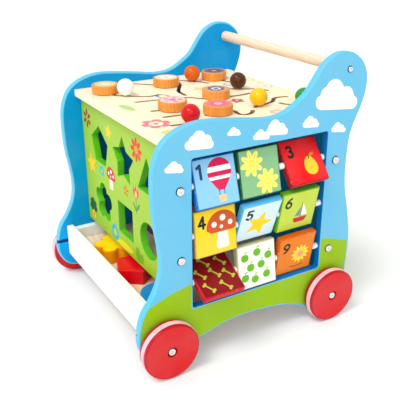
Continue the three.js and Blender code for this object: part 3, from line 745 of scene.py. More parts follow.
def plastic(name, colour):
    m, nt, b = nodes_of(name)
    k = Net(nt)
    n = k.noise(k.coords((1, 1, 1)), 120, 4, 0.6)
    f = k.noise(k.coords((1, 1, 1)), 1200, 2, 0.6)
    k.link(k.mix(k.ramp(n, 0.35, 0.7, 0.0, 0.3), colour, tuple(c * 0.85 for c in colour)), b.inputs["Base Color"])
    k.link(k.ramp(n, 0.3, 0.7, 0.25, 0.38), b.inputs["Roughness"])
    k.link(k.bump(f, 0.1, 0.00006), b.inputs["Normal"])
    return m


M = {
    "panel": paint("satin_paint_on_panel", rough=(0.30, 0.44), grain=(12, 12, 1), wood_bump=0.08, vary=0.016, wear=0.16, wear_to=lin(190, 225, 240), spec=0.12),
    "board": paint("satin_paint_on_board", rough=(0.34, 0.48), grain=(1, 12, 12), wood_bump=0.12, vary=0.03, wear=0.3, wear_to=lin(220, 225, 180)),
    "white": paint("white_paint", rough=(0.30, 0.46), grain=(1, 12, 12), wood_bump=0.14, vary=0.015, wear=0.25, wear_to=lin(225, 215, 195)),
    "gloss": paint("gloss_paint", rough=(0.14, 0.24), grain=(1, 10, 10), wood_bump=0.03, peel=0.04, coat=0.22, vary=0.02, wear=0.12, wear_to=lin(230, 215, 190), spec=0.14),
    "wheel": paint("wheel_paint", rough=(0.26, 0.34), grain=(2, 2, 2), wood_bump=0.0, peel=0.05, coat=0.08, vary=0.008, wear=0.10, wear_to=lin(240, 150, 145)),
    "tile": paint("printed_tile_paint", rough=(0.28, 0.42), grain=(12, 12, 1), wood_bump=0.10, vary=0.02, wear=0.3, wear_to=lin(235, 225, 205)),
    "block": paint("block_paint", rough=(0.18, 0.30), grain=(1, 9, 9), wood_bump=0.04, peel=0.05, coat=0.05, vary=0.010, wear=0.12, wear_to=lin(235, 200, 160), spec=0.10),
    "maple": wood("maple_board", lin(248, 236, 208), lin(238, 216, 172), along="x", ring=55, figure=0.5, pores=0.15, bump=0.14),
    "ply": wood("plywood_floor", lin(250, 232, 204), lin(236, 206, 162), along="x", ring=45, figure=0.9, pores=0.4),
    "beech_disc": wood("beech_disc", lin(232, 154, 68), lin(204, 116, 36), along="z", ring=90, figure=0.55, pores=0.45, coat=0.1),
    "beech_bar": wood("beech_dowel", lin(246, 219, 196), lin(232, 192, 150), along="z", ring=80, figure=0.6, pores=0.3, coat=0.1),
    "nickel": metal("nickel", (0.80, 0.79, 0.77)),
    "tyre": rubber("soft_tyre", lin(250, 196, 204), lin(240, 172, 184)),
    "white_plastic": plastic("white_plastic", lin(240, 240, 236)),
}


FAMILY = {"panel": SKY, "board": LIME, "white": WHITE, "wheel": lin(222, 28, 34), "maple": lin(246, 232, 200), "ply": lin(244, 220, 184), "beech_disc": lin(228, 148, 62),
          "beech_bar": lin(252, 232, 196), "nickel": (0.80, 0.79, 0.77), "tyre": lin(247, 188, 198), "white_plastic": lin(240, 240, 236)}


def shader_of(m):
    return next(n for n in m.node_tree.nodes if n.type == "BSDF_PRINCIPLED")


for key, c in FAMILY.items():
    shader_of(M[key]).inputs["Base Color"].default_value = (*c[:3], 1)


def own_colour(o, node, mat):
    """Balls, tiles and blocks each have a paint of their own, with the commonest colour on the mesh behind the pattern."""
    if mat in FAMILY:
        return M[mat]
    me, tally = o.data, {}
    paint_of = me.attributes["paint"].data
    for f in me.polygons:
        c = tuple(round(x, 4) for x in paint_of[f.loop_start].color[:3])
        tally[c] = tally.get(c, 0) + f.area
    m = M[mat].copy()
    m.name = f"{M[mat].name}_{node}"
    shader_of(m).inputs["Base Color"].default_value = (*max(tally, key=tally.get), 1)
    return m


def piece(o, node, mat, body=None):
    """Gives a finished piece its material and body, and hides the node it stands for."""
    o.data.materials.clear()
    o.data.materials.append(own_colour(o, node, mat))
    if node.startswith("tile_") and not node.startswith("tile_rod"):
        o.data.transform(o.matrix_world)
        o.matrix_world = Matrix()
    shade(o)
    body = body or next(b for b, ns in frame["record"]["behaviour"]["bodies"].items() if node in ns)
    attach(o, body)
    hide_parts(node)
    return o


# ----------------------------------------------------------------- side panels
top_z = max(q[1] for q in OUTLINE)
fine_outline = [(a, min(b, top_z)) for a, b in spline(OUTLINE, 5, closed=True)]


def cloud(left, rght, top, puffs=None):
    """A flat-bottomed cloud between two bottom corners, as high as top."""
    w = rght[0] - left[0]
    slope = (rght[1] - left[1]) / w
    tz = top[1] - (left[1] + slope * (top[0] - left[0]))
    tf = (top[0] - left[0]) / w
    # circles in (fraction of width, height over the base, radius), with height and radius as fractions of the cloud's height
    h = tz
    puffs = puffs or [(0.16, 0.24, 0.25), (tf * 0.62, 0.48, 0.27), (tf, 0.62, 0.38), (tf + (1 - tf) * 0.48, 0.46, 0.30), (0.85, 0.22, 0.23)]
    n = 44
    out = []
    lo = min(x * w - r * h for x, z, r in puffs)
    hi = max(x * w + r * h for x, z, r in puffs)
    xs = [lo + (hi - lo) * (0.5 - 0.5 * math.cos(math.pi * i / n)) for i in range(n + 1)]
    for x in xs[1:-1]:
        z = max((zc * h + math.sqrt(max((r * h) ** 2 - (x - xc * w) ** 2, 0)) for xc, zc, r in puffs if abs(x - xc * w) <= r * h), default=0.2 * h)
        out.append((x, max(z, 0.05 * h)))
    a, b = puffs[0], puffs[-1]
    def corner(xc, rr, s):
        return [(xc * w + s * rr * h * math.cos(t), rr * h + -rr * h * math.sin(t)) for t in np.linspace(0.15, math.pi / 2, 6)]
    low_right = corner(b[0], b[1], 1)
    low_left = corner(a[0], a[1], -1)[::-1]
    poly = low_left + out + low_right[::1]
    poly = [(left[0] + x, left[1] + slope * x + z) for x, z in poly]
    return poly


CLOUDS = [
    cloud((98.95, 365.4), (185.45, 355.7), (136.25, 407.4)),
    cloud((78.4, 342.2), (111.5, 338.2), (92.9, 358.2)),
    cloud((134.6, 326.4), (165.4, 321.7), (147.9, 340.0)),
    cloud((-9.5, 338.3), (21.5, 334.6), (4.5, 352.0)),
    cloud((14.0, 341.2), (53.4, 336.6), (29.2, 362.6)),
    cloud((-52.0, 351.6), (-28.9, 348.8), (-41.1, 362.4)),
    cloud((-119.35, 342.2), (-72.2, 338.0), (-95.9, 366.6)),
    cloud((-149.95, 316.4), (-119.85, 311.4), (-134.65, 330.3)),
]


def hill(window):
    """The green hill along the foot of a panel, kept 2.6 mm off its edge, going round the window if there is one."""
    inner = inset(ccw(fine_outline), 3.4)
    front = [(-210, 112.0), (-181.4, 117.1), (-162.1, 122.7), (-145.8, 128.9), (-126.0, 132.9), (-107.7, 136.3), (-90, 139.0)]
    rear = [(110, 149.0), (130.8, 147.2), (153.0, 141.6), (179.5, 132.2), (192.0, 127.4), (205, 122.5)]
    if window:
        curve = front
    else:
        curve = front + [(-30, 146), (40, 151)] + rear
    fl = spline(front, 5)
    rl = spline(rear, 5)
    al = spline(curve, 5)
    def z_at(line, y):
        ys, zs = [q[0] for q in line], [q[1] for q in line]
        return float(np.interp(y, ys, zs))
    def below(q):
        if not window:
            return q[1] < z_at(al, q[0])
        return q[1] < (z_at(fl, q[0]) if q[0] < 0 else z_at(rl, q[0]))
    flags = [below(q) for q in inner]
    n = len(inner)
    start = next(i for i in range(n) if flags[i] and not flags[i - 1])
    run = []
    i = start
    while flags[i % n]:
        run.append(inner[i % n])
        i += 1
    # run goes counterclockwise: from the front edge under the foot to the rear edge
    y_front, y_rear = run[0][0], run[-1][0]
    if not window:
        top = [q for q in al if y_front + 1 < q[0] < y_rear - 1][::-1]
        return run + top
    W, e = WINDOW, 2.6
    right_top = [q for q in rl if W["y1"] + e + 1 < q[0] < y_rear - 1][::-1]
    left_top = [q for q in fl if y_front + 1 < q[0] < W["y0"] - e - 1][::-1]
    rr = W["r"] + e
    zr = z_at(rl, W["y1"] + e)
    zl = z_at(fl, W["y0"] - e)
    mid = [(W["y1"] + e, zr)]
    for k in range(9):
        a = math.radians(-90 * k / 8)
        mid.append((W["y1"] + e - rr + rr * math.cos(a), W["z0"] - e + rr + rr * math.sin(a)))
    for k in range(9):
        a = math.radians(-90 - 90 * k / 8)
        mid.append((W["y0"] - e + rr + rr * math.cos(a), W["z0"] - e + rr + rr * math.sin(a)))
    mid.append((W["y0"] - e, zl))
    return run + right_top + mid + left_top


def panel(side):
    near = side > 0
    name = "left_side_panel" if near else "right_side_panel"
    sg = 1 if near else -1
    mirror = lambda pts: [(sg * a, b) for a, b in pts]
    holes = [mirror(circle(y, z, 2.8, 20)) for y, z in BOLTS.values()]
    holes += [mirror(circle(BAR["y"], BAR["z"], 2.3, 16))] + [mirror(circle(AXLE_Y[e], AXLE_Z, 4.3, 28)) for e in AXLE_Y]
    prints = [(mirror(hill(near)), HILL)] + [(mirror(c), CLOUD) for c in CLOUDS]
    if near:
        holes = [rounded_rect(WINDOW["y0"], WINDOW["z0"], WINDOW["y1"], WINDOW["z1"], WINDOW["r"])] + holes
        m = frame_of(Y, Z, X, (PANEL_IN, 0, 0))
    else:
        m = frame_of(NY, Z, NX, (-PANEL_IN, 0, 0))
    o = plate(name + "_painted", mirror(fine_outline), holes, PANEL_T, 3.0, 3.0, (SKY, SKY_EDGE, DEEP, lin(0, 116, 190)), prints, m, steps=6, edge_holes=0.9)
    cutters = []
    # groove for the tray floor; its walls get a darker blue, painted shade in the groove
    g0, g1 = FLOOR["z0"] - GAP, FLOOR["z1"] + GAP
    y_end = FLOOR["y1"] + GAP
    s = Skin()
    k = s.add([(sg * a, b, c) for a, b, c in [(-230, g0, -5), (y_end, g0, -5), (y_end, g1, -5), (-230, g1, -5), (-230, g0, 5), (y_end, g0, 5), (y_end, g1, 5), (-230, g1, 5)]])
    quads = [(3, 2, 1, 0), (4, 5, 6, 7), (0, 1, 5, 4), (1, 2, 6, 5), (2, 3, 7, 6), (3, 0, 4, 7)]
    for q in quads:
        s.face([k + i for i in (q if near else q[::-1])], lin(0, 92, 150))
    cutters.append(s.mesh("cut_groove_painted_shade", m))
    if near:
        for z in ROD["z"]:
            length = WINDOW["y1"] - WINDOW["y0"] + 2 * (ROD["seat"] + 1)
            mm = frame_of(Z, X, Y, (ROD["x"], WINDOW["y0"] - ROD["seat"] - 1, z))
            cutters.append(lathe("cut_seat", [(0, 0), (2.8, 0), (2.8, length), (0, length)], 20, RAW, mm))
    # Spot faces round the bolts and the handle screw. Their walls get a dark blue, painted shade in the recesses.
    for y, z, r in [(*q, 5.8) for q in BOLTS.values()] + [(BAR["y"], BAR["z"], 4.4)]:
        cutters.append(lathe("cut_spot_painted_shade", [(r - 0.5, PANEL_T - 1.5), (r * 1.13, PANEL_T - 1.5), (r * 1.16, PANEL_T - 1.3), (r * 1.16, PANEL_T + 3), (r - 0.5, PANEL_T + 3)], 40, lin(6, 84, 148), m @ Matrix.Translation((sg * y * MM, z * MM, 0)), closed=True))
    carve(o, cutters)
    return piece(o, name, "panel")


panel(1)
panel(-1)


# ------------------------------------------------------------ printed motifs
def shifted(p, dx, dy):
    return [(a + dx, b + dy) for a, b in p]


def flower_print(cx, cy, r, colour, heart, n=8, turn=math.pi / 2, gapped=False):
    out = []
    if gapped:
        for i in range(n):
            a = turn + i * 2 * math.pi / n
            out.append((ellipse(cx + 0.62 * r * math.cos(a), cy + 0.62 * r * math.sin(a), 0.36 * r, 0.20 * r, a, 16), colour))
        out.append((circle(cx, cy, 0.16 * r, 16), heart))
    else:
        out.append((petals(cx, cy, r, n, 0.42, turn), colour))
        out.append((circle(cx, cy, 0.24 * r, 20), heart))
    return out


def toadstool(cx, cy, h, cap, dots, stem):
    w = h * 0.46
    dome = [(cx + w * math.cos(t), cy + h * 0.08 + h * 0.46 * math.sin(t)) for t in np.linspace(0, math.pi, 22)] + [(cx - w * 0.72, cy - h * 0.02), (cx + w * 0.72, cy - h * 0.02)]
    foot = softened([(cx - w * 0.30, cy + h * 0.06), (cx - w * 0.42, cy - h * 0.46), (cx + w * 0.42, cy - h * 0.46), (cx + w * 0.30, cy + h * 0.06)], h * 0.08)
    out = [(foot, stem), (dome, cap)]
    for dx, dy, r in ((-0.5, 0.2, 0.075), (0.05, 0.34, 0.085), (0.52, 0.18, 0.07), (-0.05, 0.11, 0.05)):
        out.append((circle(cx + dx * w, cy + dy * h, r * h, 14), dots))
    return out


def balloon(cx, cy, h, top, stripe, basket):
    r = h * 0.30
    cz = cy + h * 0.20
    body = [(cx + r * math.cos(t), cz + r * math.sin(t)) for t in np.linspace(-0.5, math.pi + 0.5, 26)] + [(cx - r * 0.26, cy - h * 0.20), (cx + r * 0.26, cy - h * 0.20)]
    out = [(body, top)]
    s = [(cx + r * 0.985 * math.cos(t), cz + r * 0.985 * math.sin(t)) for t in np.linspace(0.42, 0.02, 6)]
    out.append((s + [(-(x - cx) + cx, z) for x, z in s[::-1]], stripe))
    s2 = [(cx - r * 0.93, cz - r * 0.32), (cx + r * 0.93, cz - r * 0.32), (cx + r * 0.80, cz - r * 0.56), (cx - r * 0.80, cz - r * 0.56)]
    out.append((s2, stripe))
    for sx in (-1, 1):
        out.append((band([(cx + sx * r * 0.22, cy - h * 0.19), (cx + sx * r * 0.20, cy - h * 0.31)], h * 0.014, 3), INK))
    out.append((softened([(cx - r * 0.30, cy - h * 0.30), (cx - r * 0.26, cy - h * 0.46), (cx + r * 0.26, cy - h * 0.46), (cx + r * 0.30, cy - h * 0.30)], h * 0.02), basket))
    return out


def tulip(cx, cy, h, bloom, shade_c, stem):
    out = [(band([(cx, cy - h * 0.48), (cx - h * 0.01, cy - h * 0.2), (cx, cy + h * 0.1)], h * 0.05, 4), stem)]
    out.append((ellipse(cx + h * 0.13, cy - h * 0.24, h * 0.19, h * 0.055, 0.9, 18), stem))
    out.append((ellipse(cx - h * 0.13, cy - h * 0.28, h * 0.17, h * 0.05, math.pi - 0.9, 18), stem))
    w = h * 0.21
    cup = [(cx - w, cy + h * 0.46), (cx - w * 0.42, cy + h * 0.27), (cx, cy + h * 0.49), (cx + w * 0.42, cy + h * 0.27), (cx + w, cy + h * 0.46)]
    cup += [(cx + w * math.cos(t), cy + h * 0.22 + h * 0.19 * math.sin(t)) for t in np.linspace(0, -math.pi, 14)]
    out.append((cup, bloom))
    out.append((ellipse(cx, cy + h * 0.16, w * 0.42, h * 0.11, math.pi / 2 * 0, 16), shade_c))
    return out


def leaf(cx, cy, a, b, turn, colour, vein):
    out = [(ellipse(cx, cy, a, b, turn, 28), colour)]
    c, s = math.cos(turn), math.sin(turn)
    out.append((band([(cx - a * 0.8 * c, cy - a * 0.8 * s), (cx + a * 1.35 * c, cy + a * 1.35 * s)], b * 0.12, 3), vein))
    return out


def ring_print(cx, cy, r, r_in, colour, heart, bumps=0):
    outer = petals(cx, cy, r, bumps, 0.86) if bumps else circle(cx, cy, r, 36)
    inner = petals(cx, cy, r_in, bumps, 0.84) if bumps else circle(cx, cy, r_in, 28)
    return [(outer, colour), (inner, heart)]


def pear(cx, cy, h, body, stem, leaf_c):
    out = []
    for i in range(40):
        t = 2 * math.pi * i / 40
        r = h * (0.30 - 0.075 * math.sin(t) - 0.03 * math.cos(2 * t))
        out.append((cx + r * math.cos(t), cy - h * 0.1 + r * math.sin(t) * (1.25 if math.sin(t) > 0 else 0.95)))
    return [(out, body), (band([(cx, cy + h * 0.13), (cx + h * 0.05, cy + h * 0.32)], h * 0.045, 4), stem), (ellipse(cx + h * 0.16, cy + h * 0.27, h * 0.13, h * 0.055, 0.35, 18), leaf_c)]


def boat(cx, cy, h, hull, sail, sail2, mast):
    out = [(softened([(cx - h * 0.34, cy - h * 0.20), (cx + h * 0.36, cy - h * 0.20), (cx + h * 0.22, cy - h * 0.42), (cx - h * 0.24, cy - h * 0.42)], h * 0.05), hull)]
    out.append((band([(cx, cy - h * 0.22), (cx, cy + h * 0.44)], h * 0.035, 4), mast))
    out.append(([(cx + h * 0.03, cy + h * 0.42), (cx + h * 0.03, cy - h * 0.13), (cx + h * 0.32, cy - h * 0.13)][::-1], sail))
    out.append(([(cx - h * 0.04, cy + h * 0.30), (cx - h * 0.27, cy - h * 0.13), (cx - h * 0.04, cy - h * 0.13)], sail2))
    return out


def sun(cx, cy, h, rays, face, core):
    out = [(star(cx, cy, h * 0.48, h * 0.30, 12), rays), (circle(cx, cy, h * 0.27, 30), face), (circle(cx, cy, h * 0.15, 24), core)]
    return out


def digit(ch, cx, cy, h, colour, base, w=None):
    """A plain numeral of height h about (cx, cy), drawn with round strokes. base fills its eyes."""
    w = w or h * 0.195
    P = lambda x, y: (cx + x * h, cy + y * h)
    def arc(x, y, rx, ry, a0, a1, n=14):
        return [P(x + rx * math.cos(math.radians(a0 + (a1 - a0) * i / n)), y + ry * math.sin(math.radians(a0 + (a1 - a0) * i / n))) for i in range(n + 1)]
    S = lambda line: (band(line, w, 6), colour)
    if ch == "1":
        return [S([P(-0.17, 0.27), P(0.04, 0.42)]), S([P(0.04, 0.42), P(0.04, -0.42)])]
    if ch == "3":
        return [S(arc(-0.01, 0.21, 0.21, 0.205, 150, -75)), S(arc(-0.02, -0.19, 0.24, 0.225, 85, -150))]
    if ch == "4":
        return [S([P(0.11, 0.42), P(0.11, -0.42)]), S([P(0.11, 0.42), P(-0.26, -0.17)]), S([P(-0.26, -0.17), P(0.27, -0.17)])]
    if ch == "5":
        return [S([P(0.22, 0.42), P(-0.17, 0.42)]), S([P(-0.17, 0.42), P(-0.20, 0.06)]), S(arc(-0.02, -0.15, 0.25, 0.26, 128, -150, 20))]
    if ch == "6":
        return [S(spline([P(0.19, 0.41), P(0.0, 0.30), P(-0.17, 0.10), P(-0.235, -0.16)], 6)),
                (ellipse(*P(0.0, -0.17), h * 0.25 + w / 2, h * 0.25 + w / 2, 0, 36), colour), (ellipse(*P(0.0, -0.17), h * 0.25 - w / 2, h * 0.25 - w / 2, 0, 28), base)]
    if ch == "9":
        return [S(spline([P(-0.19, -0.41), P(0.0, -0.30), P(0.17, -0.10), P(0.235, 0.16)], 6)),
                (ellipse(*P(0.0, 0.17), h * 0.25 + w / 2, h * 0.25 + w / 2, 0, 36), colour), (ellipse(*P(0.0, 0.17), h * 0.25 - w / 2, h * 0.25 - w / 2, 0, 28), base)]
    return []


# -------------------------------------------------------------------- the boards
def sorter():
    H = BOARD_HALF
    outer = rounded_rect(-H, SORTER["z0"], H, SORTER["z1"], 1.4, 4)
    holes = [shifted(softened(hole_outline(k, 0), 1.2, 4) if k in ("square", "triangle", "pentagon", "star") else hole_outline(k, 0), *HOLES[k]["at"]) for k in HOLES]
    RED, ORANGE, YEL, CYAN = lin(222, 58, 4), lin(232, 112, 20), lin(248, 200, 14), lin(30, 176, 204)
    GREEN, DARK, YELLOW_G = lin(104, 168, 30), lin(40, 92, 24), lin(222, 220, 52)
    z0 = SORTER["z0"]
    prints = []
    # low bushes and sunlit patches along the foot
    bush = [(-164.4, z0 + 1.2), (-164.4, z0 + 30)] + spline([(-164.4, z0 + 30), (-150, z0 + 38), (-132, z0 + 30), (-112, z0 + 22), (-88, z0 + 26), (-62, z0 + 17), (-38, z0 + 7), (-20, z0 + 4), (6, z0 + 9), (28, z0 + 20), (46, z0 + 25), (58, z0 + 16), (80, z0 + 12), (112, z0 + 20), (140, z0 + 34), (164.4, z0 + 40)], 5)[1:] + [(164.4, z0 + 1.2)]
    prints.append((bush, lin(150, 196, 36)))
    prints.append((ellipse(-10, z0 + 9, 34, 6.5, 0.05, 28), YELLOW_G))
    prints.append((ellipse(44, z0 + 16, 9, 13, 0.1, 24), GREEN))
    prints.append((ellipse(58, z0 + 14, 6, 9, -0.2, 20), GREEN))
    prints += flower_print(53.5, 309, 20, RED, ORANGE, 8, gapped=True)
    prints += flower_print(-142.5, 308.9, 17.5, lin(160, 28, 20), lin(214, 96, 24), 6, gapped=True)
    prints += flower_print(8.3, 226.8, 10.5, RED, ORANGE, 5, gapped=True)
    prints.append((softened(star(-134.5, 229, 22, 9.5, 5, math.pi / 2 + 0.2), 1.2, 3), YEL))
    prints.append((softened(star(-51.4, 308.4, 14, 6.2, 5, math.pi / 2 - 0.15), 0.8, 3), YEL))
    prints += ring_print(-89.3, 228.7, 9.0, 4.6, CYAN, LIME)
    prints += ring_print(-46.2, 129.2 + 2, 15.2, 7.2, CYAN, lin(190, 214, 60), 6)
    prints += toadstool(-50.9, 226.5, 40, lin(206, 34, 60), lin(250, 240, 236), lin(244, 226, 208))
    prints += tulip(45.4, 226.0, 50, lin(224, 62, 96), lin(248, 200, 60), lin(70, 140, 40))
    prints += [(petals(-141.5, 144.5, 17, 7, 0.72), DARK), (petals(-141.5, 128, 9.5, 6, 0.7), YEL), (circle(-141.5, 128, 3.6, 16), lin(226, 140, 30))]
    prints += flower_print(139.5, 305, 13, lin(248, 204, 30), ORANGE, 6, gapped=True)
    prints += ring_print(140, 226, 10, 5, CYAN, LIME)
    prints.append((softened(star(137, 176, 14, 6.2), 0.8, 3), YEL))
    o = plate("shape_sorter_board_painted", outer, holes, BOARD_T, 0.8, 0.8, (LIME, LIME, LIME, LIME_EDGE), prints, frame_of(X, Z, NY, (0, SORTER["front"] + BOARD_T, 0)), steps=3, edge_holes=0.7)
    cut = []
    for key in ("front_upper", "front_lower"):
        for sx in (-1, 1):
            y, z = BOLTS[key]
            cut.append(lathe("cut_end", [(0, -33), (2.8, -33), (2.8, 33), (0, 33)], 16, RAW, frame_of(Y, Z, X, (sx * BOARD_HALF, y, z))))
    carve(o, cut)
    piece(o, "shape_sorter_board", "board")


sorter()


def maze_board():
    H = BOARD_HALF
    outer = rounded_rect(-H, TOP["y0"], H, TOP["y1"], 2.4, 6)
    holes = [band(slot_line(t), SLOT_W, 8) for t in TOKENS.values()]
    a = lambda c, k=0.92: (*c, k)
    GREEN, PINK, BLUE, RED, YEL, GREY = a(lin(168, 206, 120)), a(lin(224, 96, 124)), a(lin(110, 140, 204)), a(lin(192, 14, 50)), a(lin(246, 206, 96)), a(lin(150, 160, 190), 0.8)
    bare = (0.8, 0.7, 0.5, 0.0)
    prints = []
    prints += leaf(-11.1, -114.4, 21, 8.5, 0.10, GREEN, a(lin(140, 186, 96)))
    prints += [(petals(88.1, -114.7, 22, 6, 0.66), PINK), (petals(88.1, -114.7, 11.5, 6, 0.8), bare), (circle(88.1, -114.7, 4.2, 18), PINK)]
    prints += [(ellipse(-43.3, -34.6, 15, 11, 0.3, 30), BLUE), (ellipse(-43.3, -34.6, 9.0, 6.0, 0.3, 24), bare)]
    prints += [(softened(star(42.7, 53.7, 15, 8.5, 5, 0.6), 2, 3), RED), (circle(42.7, 53.7, 2.4, 14), a(lin(250, 206, 206)))]
    prints += [(softened(star(-56.5, 43.4, 16, 7.2, 5, 0.9), 1.2, 3), YEL)]
    for cx, cy, r in ((-10.3, 153.1, 9), (-67, 154.3, 8), (-38, 156.5, 5.5)):
        prints += [(petals(cx, cy, r, 5, 0.7), GREY), (petals(cx, cy, r * 0.72, 5, 0.7), bare)]
    prints += [(ellipse(-55.7, 99.9, 11, 6, 0.4, 24), BLUE), (ellipse(-55.7, 99.9, 6.4, 3.0, 0.4, 20), bare)]
    prints += [(petals(136, -116, 14, 5, 0.7), YEL), (circle(136, -116, 5, 18), a(lin(236, 150, 70)))]
    prints += [(petals(128, 70, 13, 6, 0.7), a(lin(244, 176, 150))), (circle(128, 70, 5, 18), bare)]
    clean = []
    for poly, c in prints:
        clean.append((poly, c))
    # slot walls get a darker brown, laid 80 % over the wood
    slot_wall_brown = (*lin(150, 96, 48), 0.8)
    edge = (*lin(240, 216, 170), 0.0)
    o = plate("maze_top_board_printed", outer, holes, TOP["z1"] - TOP["z0"], 1.6, 1.6, (bare, edge, bare, slot_wall_brown), clean, frame_of(X, Y, Z, (0, 0, TOP["z0"])), steps=4, edge_holes=0.35)
    piece(o, "maze_top_board", "maple")


maze_board()


def rear():
    H = BOARD_HALF
    outer = rounded_rect(-H, REAR["z0"], H, REAR["z1"], 1.4, 4)
    prints = []
    foot = [(-164.2, REAR["z0"] + 1.4), (164.2, REAR["z0"] + 1.4), (164.2, 128)] + spline([(164.2, 128), (120, 141), (60, 130), (0, 142), (-60, 134), (-120, 146), (-164.2, 132)], 6)[1:]
    prints.append((foot, lin(150, 196, 36)))
    for x, z, r, c in ((-118, 268, 19, lin(216, 44, 26)), (96, 226, 17, lin(216, 44, 26)), (12, 300, 14, lin(226, 88, 30))):
        prints += flower_print(x, z, r, c, lin(248, 204, 30), 8, gapped=True)
    for x, z, r in ((-30, 236, 16), (128, 300, 13), (-134, 196, 13)):
        prints.append((softened(star(x, z, r, r * 0.44, 5, math.pi / 2 + 0.2), 0.8, 3), lin(248, 204, 30)))
    for x, z in ((60, 284), (-70, 312), (30, 184)):
        prints += ring_print(x, z, 9.5, 4.8, lin(40, 180, 196), LIME)
    o = plate("rear_board_painted", outer, [], BOARD_T, 0.8, 0.8, (LIME, LIME, DEEP), prints, frame_of(NX, Z, Y, (0, REAR["y0"], 0)), steps=3)
    cut = []
    for key in ("rear_upper", "rear_lower"):
        for sx in (-1, 1):
            y, z = BOLTS[key]
            cut.append(lathe("cut_end", [(0, -33), (2.8, -33), (2.8, 33), (0, 33)], 16, RAW, frame_of(Y, Z, X, (sx * BOARD_HALF, y, z))))
    carve(o, cut)
    piece(o, "rear_board", "board")


rear()

# tray
fh = PANEL_IN + 5 - GAP
piece(plate("tray_floor_ply", rounded_rect(-fh, FLOOR["y0"], fh, FLOOR["y1"], 1.2, 3), [], FLOOR["z1"] - FLOOR["z0"], 0.5, 0.5, ((*RAW, 0.0),) * 3, (), frame_of(X, Y, Z, (0, 0, FLOOR["z0"])), steps=2), "tray_floor", "ply")
piece(plate("tray_front_board_painted", rounded_rect(-BOARD_HALF, TRAY_FRONT["z0"], BOARD_HALF, TRAY_FRONT["z1"], 2.6, 6), [], BOARD_T, 1.8, 1.8, (WHITE,) * 3, (), frame_of(X, Z, NY, (0, TRAY_FRONT["y0"] + BOARD_T, 0)), steps=5), "tray_front_board", "white")
for side, s in (("left", 1), ("right", -1)):
    u, w, sg = (Y, X, 1) if s > 0 else (NY, NX, -1)
    x_out = BOARD_HALF * s
    o = plate(f"tray_side_{side}_painted", [(sg * a, b) for a, b in rounded_rect(FLOOR["y0"], FLOOR["z1"] + GAP, TRAY_SIDE["y1"], TRAY_SIDE["z1"], 2.2, 6)], [], TRAY_SIDE["t"], 1.6, 1.6, (WHITE,) * 3, (), frame_of(u, Z, w, (x_out - s * TRAY_SIDE["t"], 0, 0)), steps=5)
    piece(o, f"tray_side_{side}", "white")

# ------------------------------------------------------------------ the grab bar
L = BOARD_HALF
bore, hole = 2.3, 32.0
prof = fillet([(0, -L + hole), (bore, -L + hole), (bore, -L), (BAR["r"], -L, 1.2), (BAR["r"], L, 1.2), (bore, L), (bore, L - hole), (0, L - hole)], 5)
piece(lathe("handle_bar_dowel", prof, 72, (*RAW, 0.0), frame_of(Y, Z, X, (0, BAR["y"], BAR["z"]))), "handle_bar", "beech_bar")


def along_x(s, x, y, z):
    """Local z points away from the walker along X."""
    return frame_of(Y, Z, X, (x, y, z)) if s > 0 else frame_of(NY, Z, NX, (x, y, z))


def hex_at(rings):
    """Radius function that makes the listed rings hexagonal."""
    def f(j, a):
        if j not in rings:
            return 1.0
        k = (a + math.pi / 6) % (math.pi / 3) - math.pi / 6
        return math.cos(math.pi / 6) / math.cos(k)
    return f


def screw(name, node, s, x, y, z, head_r, head_h, r, length, socket):
    prof = fillet([(0, -length), (r * 0.55, -length), (r, -length + 3.0, 0.4), (r, 0), (head_r, 0, 0.25), (head_r, head_h, head_h * 0.62), (socket * 1.32, head_h, 0.3)], 6)
    n0 = len(prof)
    prof += [(socket * 1.18, head_h - 0.25), (socket * 1.155, head_h - 1.7), (socket * 0.6, head_h - 1.95), (0, head_h - 2.1)]
    o = lathe(name, prof, 60, (0.8, 0.8, 0.8), along_x(s, x, y, z), shape=hex_at({n0, n0 + 1, n0 + 2}), angle=32)
    piece(o, node, "nickel")


for place, (y, z) in BOLTS.items():
    for side, s in (("left", 1), ("right", -1)):
        screw(f"bolt_{place}_{side}_socket", f"bolt_{place}_{side}", s, s * (PANEL_OUT + GAP), y, z, 5.8, 2.6, 2.5, 42, 1.9)
for side, s in (("left", 1), ("right", -1)):
    screw(f"handle_screw_{side}_socket", f"handle_screw_{side}", s, s * (PANEL_OUT + GAP), BAR["y"], BAR["z"], 4.0, 1.8, 2.0, 42, 1.3)

